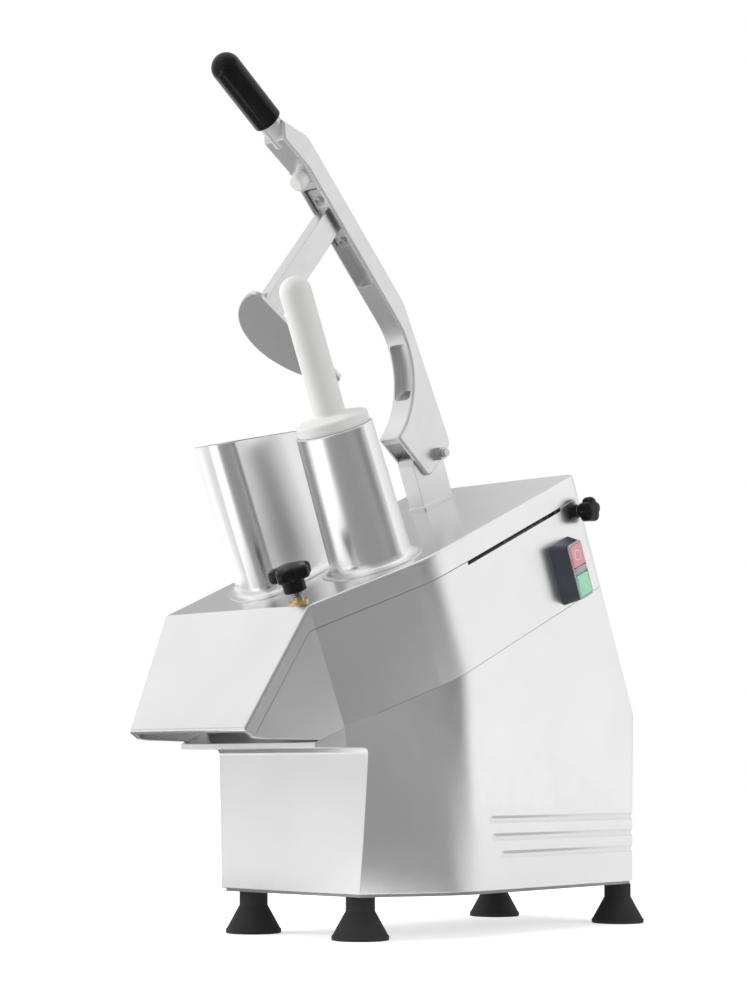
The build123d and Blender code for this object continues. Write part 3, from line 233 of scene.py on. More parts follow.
@dataclass(frozen=True)
class Metal:
    """Bare metal finish.

    Attributes:
        name: Material name.
        dark: Colour in the duller places.
        light: Colour in the brighter places.
        roughness: Lowest and highest roughness.
        grain: Depth of the fine grain in metres.
        grain_scale: Waves of grain in each metre.
        stretch: Stretch of the grain along x, up the slope and square to it.
        wave: Depth in metres of the slow unevenness of a casting.
        edge: Radius in metres of the rounding that edges show.
        tone_scale: Waves in each metre of the change of colour.
        rough_scale: Waves in each metre of the change of roughness.
        wave_scale: Waves in each metre of the slow unevenness.
    """

    name: str
    dark: Colour
    light: Colour
    roughness: Point
    grain: float
    grain_scale: float
    stretch: Triple = (1.0, 1.0, 1.0)
    wave: float = 0.0
    edge: float = 0.0006
    tone_scale: float = 14.0
    rough_scale: float = 90.0
    wave_scale: float = 22.0

    def build(self) -> bpy.types.Material:
        """Make the material.

        Returns:
            The new material.
        """
        graph = Graph(self.name)
        graph.set(metallic=1.0)
        still = graph.place()
        along = graph.place(self.stretch, TILT)
        graph.tint(graph.noise(still, self.tone_scale, 4.0), self.dark, self.light)
        graph.rough(graph.spread(graph.noise(along, self.rough_scale, 5.0), *self.roughness))
        layers = [(graph.noise(along, self.grain_scale, 4.0), self.grain)]
        if self.wave:
            layers.insert(0, (graph.noise(still, self.wave_scale, 2.0), self.wave))
        graph.bump(layers, self.edge)
        return graph.material


@dataclass(frozen=True)
class Plastic:
    """Moulded plastic or rubber.

    Attributes:
        name: Material name.
        dark: Colour in the duller places.
        light: Colour in the brighter places.
        roughness: Lowest and highest roughness.
        grain: Depth of the moulded texture in metres.
        grain_scale: Waves of texture in each metre.
        coat: Weight of a clear coat.
        soft: Weight of light spread under the surface.
        gloss: Strength of the plain reflection.
        coat_roughness: Roughness of the clear coat.
        soft_depth: Distance in metres that light spreads under the surface.
        tone_scale: Waves in each metre of the change of colour.
        rough_scale: Waves in each metre of the change of roughness.
    """

    name: str
    dark: Colour
    light: Colour
    roughness: Point
    grain: float
    grain_scale: float
    coat: float = 0.0
    soft: float = 0.0
    gloss: float = 0.5
    coat_roughness: float = 0.06
    soft_depth: float = 0.004
    tone_scale: float = 40.0
    rough_scale: float = 160.0

    def build(self) -> bpy.types.Material:
        """Make the material.

        Returns:
            The new material.
        """
        graph = Graph(self.name)
        still = graph.place()
        graph.set(coat_weight=self.coat, coat_roughness=self.coat_roughness,
                  specular_ior_level=self.gloss)
        if self.soft:
            graph.set(subsurface_weight=self.soft, subsurface_scale=self.soft_depth,
                      subsurface_radius=(1.0, 1.0, 1.0))
        graph.tint(graph.noise(still, self.tone_scale), self.dark, self.light)
        graph.rough(graph.spread(graph.noise(still, self.rough_scale), *self.roughness))
        graph.bump([(graph.noise(still, self.grain_scale), self.grain)])
        return graph.material


class Finish(Enum):
    """Every finish that the cutter shows."""

    CAST = Metal("cast_satin", (0.86, 0.86, 0.865), (0.9, 0.9, 0.9), (0.24, 0.27),
                 0.000004, 2600.0, wave=0.00003, edge=0.0008)
    FLUTE = Metal("cast_flute", (0.86, 0.86, 0.865), (0.9, 0.9, 0.9), (0.28, 0.32),
                  0.000004, 2600.0, edge=0.0)
    CHUTE = Metal("chute_polished", (0.92, 0.92, 0.92), (0.95, 0.95, 0.95), (0.27, 0.32),
                  0.000003, 1400.0, (1.0, 1.0, 0.02), edge=0.001)
    LEVER = Metal("lever_blasted", (0.78, 0.78, 0.785), (0.83, 0.83, 0.83), (0.3, 0.35),
                  0.000012, 3200.0, wave=0.00004, edge=0.001)
    RIM = Metal("lever_rim", (0.9, 0.9, 0.9), (0.94, 0.94, 0.94), (0.7, 0.8),
                0.000012, 3200.0, edge=0.0)
    STEEL = Metal("bright_steel", (0.55, 0.55, 0.55), (0.66, 0.65, 0.64), (0.18, 0.28),
                  0.000005, 3000.0)
    # Painted shade: this plate metal is darker than bare steel so that the bottom plate's lip under
    # the base shows the shade beneath the casting; the motor plate shares it.
    PLATE = Metal("dull_plate_shade", (0.3, 0.3, 0.3), (0.38, 0.38, 0.38), (0.4, 0.5), 0.000008, 2000.0)
    BRASS = Metal("turned_brass", (0.8, 0.6, 0.3), (0.9, 0.72, 0.42), (0.2, 0.3), 0.000005, 3000.0)
    NYLON = Plastic("white_nylon", (0.87, 0.87, 0.87), (0.9, 0.9, 0.9), (0.4, 0.5),
                    0.00001, 1800.0, soft=0.1)
    BLACK = Plastic("gloss_black", (0.006, 0.006, 0.007), (0.011, 0.011, 0.012), (0.14, 0.2),
                    0.000006, 900.0, gloss=0.22)
    RUBBER = Plastic("foot_rubber", (0.004, 0.004, 0.004), (0.008, 0.008, 0.008), (0.4, 0.55),
                     0.00002, 2200.0, gloss=0.14)
    SWITCH = Plastic("switch_case", (0.055, 0.068, 0.09), (0.075, 0.09, 0.115), (0.3, 0.42),
                     0.00001, 2200.0)
    BEZEL = Plastic("switch_front", (0.5, 0.49, 0.51), (0.56, 0.55, 0.57), (0.15, 0.22),
                    0.000006, 1200.0, coat=0.8)
    RED = Plastic("stop_red", (0.9, 0.31, 0.37), (0.94, 0.36, 0.42), (0.15, 0.22),
                  0.000006, 1200.0, coat=0.8)
    GREEN = Plastic("start_green", (0.34, 0.9, 0.55), (0.4, 0.94, 0.61), (0.15, 0.22),
                    0.000006, 1200.0, coat=0.8)
    LENS = Plastic("switch_strip", (0.4, 0.39, 0.44), (0.47, 0.46, 0.5), (0.12, 0.18),
                   0.000004, 900.0, coat=0.8)
    MARK = Plastic("mark_white", (0.84, 0.84, 0.84), (0.9, 0.9, 0.9), (0.3, 0.4), 0.000004, 1200.0)
    # Painted shade: a dark strip that stands in for the shadow in the gap of a casting's joint.
    SEAM = Plastic("seam_shadow", (0.13, 0.13, 0.13), (0.18, 0.18, 0.18), (0.6, 0.7),
                   0.000004, 1200.0, gloss=0.2)
    MOTOR = Plastic("motor_paint", (0.03, 0.032, 0.036), (0.045, 0.048, 0.054), (0.4, 0.5),
                    0.00002, 1600.0)

    def material(self) -> bpy.types.Material:
        """Give the finish's material, made at its first use."""
        return bpy.data.materials.get(self.value.name) or self.value.build()


def body_of(node: str) -> str:
    """Find the body that carries a node.

    Args:
        node: Name of the node.

    Returns:
        Name of its body.
    """
    for body, members in frame["record"]["behaviour"]["bodies"].items():
        if node in members:
            return body
    raise KeyError(node)


def search_tree(node: str) -> BVHTree:
    """Make a search tree of a node's mesh.

    Args:
        node: Name of the node.

    Returns:
        The tree.
    """
    mesh = frame["nodes"][node].data
    return BVHTree.FromPolygons([vertex.co for vertex in mesh.vertices],
                                [tuple(face.vertices) for face in mesh.polygons])


def side_hit(tree: BVHTree, y: float, z: float, way: float) -> tuple[Vector, Vector] | None:
    """Find a casting's side from outside.

    Args:
        tree: Search tree of the casting.
        y: Place along the side in millimetres.
        z: Height in millimetres.
        way: 1 for the right side and -1 for the left.

    Returns:
        Point in millimetres and normal that points outward, or None past the end.
    """
    spot, normal, _, _ = tree.ray_cast(Vector((way, y * MM, z * MM)), Vector((-way, 0.0, 0.0)))
    if spot is None:
        return None
    return spot / MM, normal if normal.x * way > 0.0 else -normal


def circle(radius: float, level: float, steps: int = 72) -> Loop:
    """Ring of points in millimetres round the local z axis."""
    turns = (2.0 * math.pi * step / steps for step in range(steps))
    return [Vector((radius * math.cos(turn), radius * math.sin(turn), level)) for turn in turns]


def box_ring(width: float, height: float, corner: float, level: float, steps: int = 6) -> Loop:
    """Ring of points round a rectangle with round corners.

    Args:
        width: Size along local x in millimetres.
        height: Size along local y in millimetres.
        corner: Corner radius in millimetres.
        level: Height in millimetres.
        steps: Steps round each corner.

    Returns:
        The ring.
    """
    ring = []
    for quarter, (way_x, way_y) in enumerate(((1, 1), (-1, 1), (-1, -1), (1, -1))):
        for step in range(steps + 1):
            turn = math.pi / 2.0 * (quarter + step / steps)
            ring.append(Vector((way_x * (width / 2.0 - corner) + corner * math.cos(turn),
                                way_y * (height / 2.0 - corner) + corner * math.sin(turn), level)))
    return ring


class Maker:
    """Makes the pieces that are modelled here and puts them on their bodies.

    Attributes:
        sharp: Least angle between faces that shows as an edge.
    """

    sharp: float = math.radians(32.0)

    def loft(self, name: str, rings: list[Loop], place: Matrix, finish: Finish, node: str,
             instead: bool = False, hoop: bool = False) -> bpy.types.Object:
        """Join rings of points into one closed piece.

        Args:
            name: Name of the piece.
            rings: Rings of equal length in local millimetres.
            place: Matrix that places local millimetres.
            finish: Finish to use.
            node: Node whose body carries the piece.
            instead: Whether the piece stands in the node's place.
            hoop: Whether the last ring joins the first, with no end caps.

        Returns:
            The new piece.
        """
        count = len(rings[0])
        total = len(rings)
        faces = []
        for row in range(total if hoop else total - 1):
            low = row * count
            high = (row + 1) % total * count
            for column in range(count):
                after = (column + 1) % count
                faces.append((low + column, low + after, high + after, high + column))
        if not hoop:
            faces.append(tuple(reversed(range(count))))
            faces.append(tuple(range((total - 1) * count, total * count)))
        mesh = bpy.data.meshes.new(name)
        mesh.from_pydata([place @ point for ring in rings for point in ring], [], faces)
        work = bmesh.new()
        work.from_mesh(mesh)
        bmesh.ops.recalc_face_normals(work, faces=work.faces)
        work.to_mesh(mesh)
        work.free()
        mesh.shade_smooth()
        mesh.set_sharp_from_angle(angle=self.sharp)
        mesh.materials.append(finish.material())
        piece = bpy.data.objects.new(name, mesh)
        bpy.context.scene.collection.objects.link(piece)
        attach(piece, body_of(node))
        if instead:
            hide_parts(node)
        LOG.info("%s made, finish %s, on the body of %s", name, finish.name, node)
        return piece

    def turn(self, name: str, profile: list[Point], place: Matrix, finish: Finish, node: str,
             instead: bool = False, hoop: bool = False) -> bpy.types.Object:
        """Turn a profile of radius and height in millimetres round the local z axis."""
        rings = [circle(radius, level) for radius, level in profile]
        return self.loft(name, rings, place, finish, node, instead, hoop)


@dataclass
class Assembly:
    """Sub-assembly of nodes.

    Attributes:
        name: Plain name for the log.
        kept: Nodes that keep their mesh, with their finish.
        maker: Makes the pieces that are modelled here.
    """

    name: str = ""
    kept: dict[str, Finish] = field(default_factory=dict)
    maker: Maker = field(default_factory=Maker)

    def build(self) -> None:
        """Dress every node and add the assembly's own pieces."""
        self.dress()
        self.model()
        LOG.info("%s finished", self.name)

    def dress(self) -> None:
        """Give the nodes that keep their mesh their finish."""
        for node, finish in self.kept.items():
            piece = frame["nodes"][node]
            piece.data.materials.clear()
            piece.data.materials.append(finish.material())
            LOG.info("%s keeps its mesh, finish %s", node, finish.name)

    def model(self) -> None:
        """Add pieces that only this assembly has."""


@dataclass
class Base(Assembly):
    """Base casting with its plate, gland, feet and soft flutes; lengths in millimetres.

    Attributes:
        foot: Radius of a foot at its rim.
        foot_rim: Height of the rim.
        foot_neck: Radius of a foot's neck.
        foot_cone: Height where the cone meets the neck.
        foot_height: Height of a foot.
        foot_recess: Radius and depth of the recess for the screw.
        foot_bore: Radius of the screw's hole.
        foot_round: Rounding of the rim.
        foot_knee: Share of the rounding at which its middle point lies.
        flute_levels: Height of each flute's middle.
        flute_starts: Front end of each flute along y.
        flute_high: Height of a flute.
        flute_deep: Depth of a flute's curve.
        flute_lap: Lap of the curve past the flute's edges.
        flute_fade: Length over which a flute reaches its depth.
        flute_gauge: Thickness of the curve's wall.
        flute_proud: Height of the curve's edges above the casting.
        flute_lead: Length by which the curve starts ahead of the flute.
        flute_step: Distance from one station to the next.
        flute_turn: Greatest share of the normal along y where the side goes on.
        flute_power: Power that softens the curve at its edges.
    """

    foot: float = 26.5
    foot_rim: float = 4.6
    foot_neck: float = 13.5
    foot_cone: float = 26.0
    foot_height: float = 40.0
    foot_recess: Point = (7.5, 26.0)
    foot_bore: float = 3.2
    foot_round: float = 0.9
    foot_knee: float = 0.3
    flute_levels: Triple = (76.0, 92.5, 109.0)
    flute_starts: Triple = (9.6, -5.4, -9.4)
    flute_high: float = 6.5
    flute_deep: float = 1.9
    flute_lap: float = 0.5
    flute_fade: float = 14.0
    flute_gauge: float = 0.4
    flute_proud: float = 0.02
    flute_lead: float = 1.0
    flute_step: float = 3.0
    flute_turn: float = 0.8
    flute_power: float = 1.5

    def model(self) -> None:
        """Add the feet and the flutes."""
        for node in ("foot_front_left", "foot_front_right", "foot_rear_left", "foot_rear_right"):
            self.rubber_foot(node)
        tree = search_tree("base_housing")
        for number, (level, start) in enumerate(zip(self.flute_levels, self.flute_starts), 1):
            for way, side in SIDES:
                self.flute(f"flute_{side}_{number}", tree, level, start, way)

    def rubber_foot(self, node: str) -> None:
        """Turn one rubber foot: flat rim, straight cone and neck.

        Args:
            node: Node that the foot stands in for.
        """
        low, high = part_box(node)
        middle = Vector(((low[0] + high[0]) / 2.0, (low[1] + high[1]) / 2.0, low[2]))
        place = axes(middle, HEAD_X, Vector((0.0, 0.0, 1.0)))
        recess, deep = self.foot_recess
        rim, cone, neck = self.foot_rim, self.foot_cone, self.foot_neck
        soft = self.foot_round
        knee = self.foot_knee * soft
        profile = [(recess, 0.0),
                   (self.foot - soft, 0.0), (self.foot - knee, knee), (self.foot, soft),
                   (self.foot, rim - soft), (self.foot - knee, rim - knee), (self.foot - soft, rim),
                   (neck + soft, cone - soft), (neck + knee, cone), (neck, cone + soft),
                   (neck, self.foot_height), (self.foot_bore, self.foot_height),
                   (self.foot_bore, deep), (recess, deep)]
        self.maker.turn(node + "_rubber", profile, place, Finish.RUBBER, node, True, True)

    def flute(self, name: str, tree: BVHTree, level: float, start: float, way: float) -> None:
        """Round the bottom of one flute.

        Args:
            name: Name of the piece.
            tree: Search tree of the casting.
            level: Height of the flute's middle.
            start: Front end of the flute along y.
            way: 1 for the right side and -1 for the left.
        """
        reach = self.flute_high / 2.0 + self.flute_lap
        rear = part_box("base_housing")[1][1] / MM
        rings = []
        station = first = start - self.flute_lead
        while station < rear:
            edges = [self.touch(tree, station, level + rise, way) for rise in (-reach, reach)]
            if any(edge is None or abs(edge[1].y) > self.flute_turn for edge in edges):
                break
            share = min(1.0, (station - first) / self.flute_fade)
            rings.append(self.trough(edges, self.flute_deep * share * (2.0 - share)))
            station += self.flute_step
        self.maker.loft(name, rings, Matrix.Scale(MM, 4), Finish.FLUTE, "base_housing")

    def touch(self, tree: BVHTree, y: float, z: float, way: float) -> tuple[Vector, Vector] | None:
        """Find the casting's side and its level normal.

        Args:
            tree: Search tree of the casting.
            y: Place along the side.
            z: Height.
            way: 1 for the right side and -1 for the left.

        Returns:
            Point and level normal, or None past the end.
        """
        hit = side_hit(tree, y, z, way)
        if hit is None:
            return None
        spot, normal = hit
        return spot, Vector((normal.x, normal.y, 0.0)).normalized()

    def trough(self, edges: list[tuple[Vector, Vector]], deep: float, steps: int = 12) -> Loop:
        """Ring of one cut across a flute: curved front and its back.

        Args:
            edges: Lower and upper edge with their normals.
            deep: Depth of the curve here.
            steps: Steps across the flute.

        Returns:
            The ring.
        """
        (low, low_normal), (high, high_normal) = edges
        front, back = [], []
        for step in range(steps + 1):
            share = step / steps
            normal = low_normal.lerp(high_normal, share)
            sink = deep * math.sin(math.pi * share) ** self.flute_power
            spot = low.lerp(high, share) - normal * (sink - self.flute_proud)
            front.append(spot)
            back.append(spot - normal * self.flute_gauge)
        return front + back[::-1]


@dataclass
class Casting(Assembly):
    """Casting whose joint gets a fine dark line on both sides, painted shade for the shadow in the
    joint's gap; lengths in millimetres.

    Attributes:
        seam_node: Node whose edge carries the line.
        seam_path: Corners of the line: place up the slope and height square to the cover.
        seam_gap: Distance from the node's edge to the line.
        seam_width: Width of the line.
        seam_proud: Height of the line above the casting.
        seam_sunk: Depth of the line's back under the surface.
        seam_step: Distance from one station to the next.
        seam_facing: Least sideways share of the casting's normal where the line is drawn.
    """

    seam_node: str = ""
    seam_path: tuple[Point, ...] = ()
    seam_gap: float = 0.05
    seam_width: float = 0.32
    seam_proud: float = 0.03
    seam_sunk: float = 0.1
    seam_step: float = 3.0
    seam_facing: float = 0.3

    def model(self) -> None:
        """Draw the line on the right and on the left."""
        tree = search_tree(self.seam_node)
        for way, side in SIDES:
            self.maker.loft(f"{self.seam_node}_seam_{side}", self.stations(tree, way),
                            Matrix.Scale(MM, 4), Finish.SEAM, self.seam_node)

    def stations(self, tree: BVHTree, way: float) -> list[Loop]:
        """Cut the line at even steps along its path.

        Args:
            tree: Search tree of the casting.
            way: 1 for the right side and -1 for the left.

        Returns:
            One ring for each step.
        """
        rings = []
        for (start_v, start_w), (end_v, end_w) in zip(self.seam_path, self.seam_path[1:]):
            run = math.hypot(end_v - start_v, end_w - start_w)
            inward = (HEAD_V * (start_w - end_w) + HEAD_W * (end_v - start_v)) / run
            count = round(run / self.seam_step)
            for step in range(count + 1):
                share = step / count
                spot = head_point(0.0, start_v + (end_v - start_v) * share,
                                  start_w + (end_w - start_w) * share) / MM
                ring = self.cut(tree, spot, inward, way)
                if ring:
                    rings.append(ring)
                elif rings:
                    return rings
        return rings

    def cut(self, tree: BVHTree, spot: Vector, inward: Vector, way: float) -> Loop:
        """Ring of one cut across the line.

        Args:
            tree: Search tree of the casting.
            spot: Point of the node's edge in millimetres, at any place across.
            inward: Direction from the edge into the node.
            way: 1 for the right side and -1 for the left.

        Returns:
            The ring, empty where the casting has no side.
        """
        front, back = [], []
        for gap in (self.seam_gap, self.seam_gap + self.seam_width):
            level = spot + inward * gap
            hit = side_hit(tree, level.y, level.z, way)
            if hit is None or hit[0].x * way < 0.0 or abs(hit[1].x) < self.seam_facing:
                return []
            touch, outward = hit
            front.append(touch + outward * self.seam_proud)
            back.append(touch - outward * self.seam_sunk)
        return front + back[::-1]


@dataclass
class Head(Casting):
    """Head casting with bearings, motor and belt; the line is its joint with the base."""

    seam_node: str = "head_housing"
    seam_path: tuple[Point, ...] = ((30.0, -117.0), (420.0, -117.0))


@dataclass
class Cover(Casting):
    """Cover casting with chutes and pusher; the line runs under its hood and skirt."""

    seam_node: str = "cover"
    seam_path: tuple[Point, ...] = ((-88.0, -86.7), (-7.3, -22.5), (171.0, -22.5))


@dataclass
class Drive(Assembly):
    """Spindle, discs, blades and pulleys, which keep the shapes they have."""


@dataclass
class StarKnobs(Assembly):
    """Cover hinge and lock: turned steel, brass and two moulded star knobs; lengths in millimetres.

    Attributes:
        lobes: Lobes of a knob.
        valley_share: Radius between the lobes as a share of the knob's.
        lock: Knob radius, hub radius and hub length of the lock knob.
        lock_thick: Thickness of the lock knob's star.
        lock_spot: Place of the lock knob's foot on the head.
        hinge: Knob radius, hub radius and hub length of the hinge knob.
        hub_round: Bevel at the hub's foot.
        hub_step: Length left between the hub's side and the star.
        lobe_power: Power that rounds the lobes.
        crown: Share of the radius and of the thickness at each ring of the star.
        steps: Points round a knob.
    """

    lobes: int = 5
    valley_share: float = 0.74
    lock: Triple = (20.5, 10.5, 11.5)
    lock_thick: float = 13.0
    lock_spot: Triple = (73.0, 9.0, 11.0)
    hinge: Triple = (13.0, 7.0, 5.5)
    hub_round: float = 0.5
    hub_step: float = 0.6
    lobe_power: float = 0.6
    crown: tuple[Point, ...] = (
        (0.78, 0.0), (0.93, 0.04), (0.985, 0.14), (1.0, 0.3), (1.0, 0.55), (0.985, 0.7),
        (0.94, 0.81), (0.86, 0.885), (0.74, 0.935), (0.58, 0.97), (0.4, 0.99), (0.2, 1.0),
    )
    steps: int = 160

    def model(self) -> None:
        """Mould both knobs."""
        low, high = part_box("hinge_knob")
        middle = Vector((low[0], (low[1] + high[1]) / 2.0, (low[2] + high[2]) / 2.0))
        self.knob("hinge_knob", axes(middle, HEAD_V, HEAD_X), (high[0] - low[0]) / MM, *self.hinge)
        foot = axes(head_point(*self.lock_spot), HEAD_X, HEAD_W)
        self.knob("lock_knob", foot, self.lock[2] + self.lock_thick, *self.lock)

    def knob(self, node: str, place: Matrix, length: float, radius: float, hub: float,
             hub_length: float) -> None:
        """Mould one star knob with a hub and a domed top.

        Args:
            node: Node that the knob stands in for.
            place: Matrix that places local millimetres, z along the knob.
            length: Whole length.
            radius: Radius over the lobes.
            hub: Radius of the hub.
            hub_length: Length of the hub.
        """
        thick = length - hub_length
        rings = [circle(hub - self.hub_round, 0.0, self.steps),
                 circle(hub, self.hub_round, self.steps),
                 circle(hub, hub_length - self.hub_step, self.steps)]
        for share, rise in self.crown:
            valley = 1.0 - (1.0 - self.valley_share) * share ** 2
            rings.append(self.star(radius * share, valley, hub_length + thick * rise))
        self.maker.loft(node + "_moulded", rings, place, Finish.BLACK, node, True)

    def star(self, radius: float, valley: float, level: float) -> Loop:
        """Ring round a star.

        Args:
            radius: Radius over the lobes.
            valley: Radius between the lobes as a share of it.
            level: Height.

        Returns:
            The ring.
        """
        ring = []
        for step in range(self.steps):
            turn = 2.0 * math.pi * step / self.steps
            swell = (0.5 + 0.5 * math.cos(self.lobes * turn)) ** self.lobe_power
            reach = radius * (valley + (1.0 - valley) * swell)
            ring.append(Vector((reach * math.cos(turn), reach * math.sin(turn), level)))
        return ring


@dataclass
class Lever(Assembly):
    """Lever with its post, presser, grip and pivot; lengths in millimetres.

    Attributes:
        thread_root: Radius at the bottom of the bolt's thread.
        thread_crest: Radius at the top of the thread.
        thread_pitch: Distance from one crest to the next.
        thread_wall: Thickness of the thread's sleeve under its root.
        thread_lap: Length of the sleeve inside the nut.
        rim_share: Least and greatest sideways share of the normal on a rounded edge.
    """

    thread_root: float = 4.02
    thread_crest: float = 4.4
    thread_pitch: float = 1.25
    thread_wall: float = 1.0
    thread_lap: float = 0.5
    rim_share: Point = (0.12, 0.97)

    def model(self) -> None:
        """Give the lever's rounded edges a brighter, rougher finish and cut the thread on the bolt's
        bare end.
        """
        self.brighten_rims("lever_arm")
        self.thread()

    def brighten_rims(self, node: str) -> None:
        """Give the rounded edges of a node a brighter and duller finish.

        Args:
            node: Name of the node.
        """
        mesh = frame["nodes"][node].data
        mesh.materials.append(Finish.RIM.material())
        least, most = self.rim_share
        for face in mesh.polygons:
            face.material_index = int(least < abs(face.normal.x) < most)

    def thread(self) -> None:
        """Cut the thread on the bolt's bare end."""
        low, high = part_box("pivot_bolt")
        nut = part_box("pivot_nut")[1][0]
        middle = Vector((nut, (low[1] + high[1]) / 2.0, (low[2] + high[2]) / 2.0))
        place = axes(middle, HEAD_V, HEAD_X)
        length = (high[0] - nut) / MM - self.thread_pitch
        inside = self.thread_root - self.thread_wall
        profile = [(inside, -self.thread_lap)]
        level = 0.0
        while level < length:
            profile.append((self.thread_root, level))
            profile.append((self.thread_crest, level + self.thread_pitch / 2.0))
            level += self.thread_pitch
        profile += [(self.thread_root, level), (inside, level)]
        self.maker.turn("pivot_thread", profile, place, Finish.STEEL, "pivot_bolt", hoop=True)


@dataclass
class Switch(Assembly):
    """Switch with two cushioned buttons, their marks and the strip between; lengths in millimetres.

    Attributes:
        side_angle: Angle of the head's side to the slope.
        spot: Place of the switch on the head: across, up the slope and square to the cover.
        button: Width and height of a button.
        button_middle: Distance of a button's middle from the switch's.
        button_low: Level of a button's back.
        button_top: Level of a button's face.
        button_corner: Corner radius of a button.
        least_corner: Least corner radius of a ring.
        soft_edge: Inset and drop of each ring round a softly rounded face.
        strip: Width and height of the strip.
        strip_top: Level of the strip's face.
        ring: Inner and outer radius of the stop mark.
        bar: Width and height of the start mark.
        bar_corner: Corner radius of the start mark.
        mark_proud: Height of the marks above the face.
    """

    side_angle: float = math.atan2(7.0, 261.0)
    spot: Triple = (132.583, 320.0, -83.0)
    button: Point = (20.4, 21.7)
    button_middle: float = 14.95
    button_low: float = 10.8
    button_top: float = 17.8
    button_corner: float = 2.0
    least_corner: float = 0.3
    soft_edge: tuple[Point, ...] = ((0.0, 1.0), (0.1, 0.6), (0.35, 0.25), (0.7, 0.06), (1.2, 0.0))
    strip: Point = (20.0, 7.2)
    strip_top: float = 17.5
    ring: Point = (4.3, 5.5)
    bar: Point = (1.3, 10.5)
    bar_corner: float = 0.3
    mark_proud: float = 0.12

    def model(self) -> None:
        """Add the buttons, the marks and the strip."""
        outward = HEAD_X * math.cos(self.side_angle) + HEAD_V * math.sin(self.side_angle)
        along = HEAD_V * math.cos(self.side_angle) - HEAD_X * math.sin(self.side_angle)
        place = axes(head_point(*self.spot), along, outward)
        upper = place @ Matrix.Translation((0.0, self.button_middle, 0.0))
        lower = place @ Matrix.Translation((0.0, -self.button_middle, 0.0))
        self.cushion("button_stop_cap", self.button, self.button_top, upper, Finish.RED,
                     "button_stop", True)
        self.cushion("button_start_cap", self.button, self.button_top, lower, Finish.GREEN,
                     "button_start", True)
        self.cushion("switch_strip", self.strip, self.strip_top, place, Finish.LENS, "switch_frame")
        low = self.button_top - self.mark_proud
        high = self.button_top + self.mark_proud
        inner, outer = self.ring
        profile = [(inner, low), (inner, high), (outer, high), (outer, low)]
        self.maker.turn("stop_mark", profile, upper, Finish.MARK, "button_stop", hoop=True)
        rings = [box_ring(*self.bar, self.bar_corner, level) for level in (low, high)]
        self.maker.loft("start_mark", rings, lower, Finish.MARK, "button_start")

    def cushion(self, name: str, size: Point, high: float, place: Matrix, finish: Finish, node: str,
                instead: bool = False) -> None:
        """Mould a block with round corners and a softly rounded face.

        Args:
            name: Name of the piece.
            size: Width and height.
            high: Level of the face.
            place: Matrix that places local millimetres.
            finish: Finish to use.
            node: Node whose body carries the piece.
            instead: Whether the piece stands in the node's place.
        """
        width, height = size
        rings = [box_ring(width, height, self.button_corner, self.button_low)]
        for inset, drop in self.soft_edge:
            corner = max(self.least_corner, self.button_corner - inset)
            rings.append(box_ring(width - 2.0 * inset, height - 2.0 * inset, corner, high - drop))
        self.maker.loft(name, rings, place, finish, node, instead)


@dataclass(frozen=True)
class Card:
    """One sheet that only reflections see.

    Attributes:
        start: First azimuth in degrees, 0 towards -Y and 90 towards +X.
        end: Last azimuth in degrees.
        low: Lowest elevation in degrees, or the inner radius in metres of a sheet on the floor.
        high: Highest elevation in degrees, or the outer radius in metres.
        grey: Brightness.
    """

    start: float
    end: float
    low: float
    high: float
    grey: float


@dataclass(frozen=True)
class Lamp:
    """One square area lamp.

    Attributes:
        name: Name of the lamp.
        place: Where it stands, in metres.
        size: Side of the square in metres.
        power: Power in watts.
    """

    name: str
    place: Triple
    size: float
    power: float


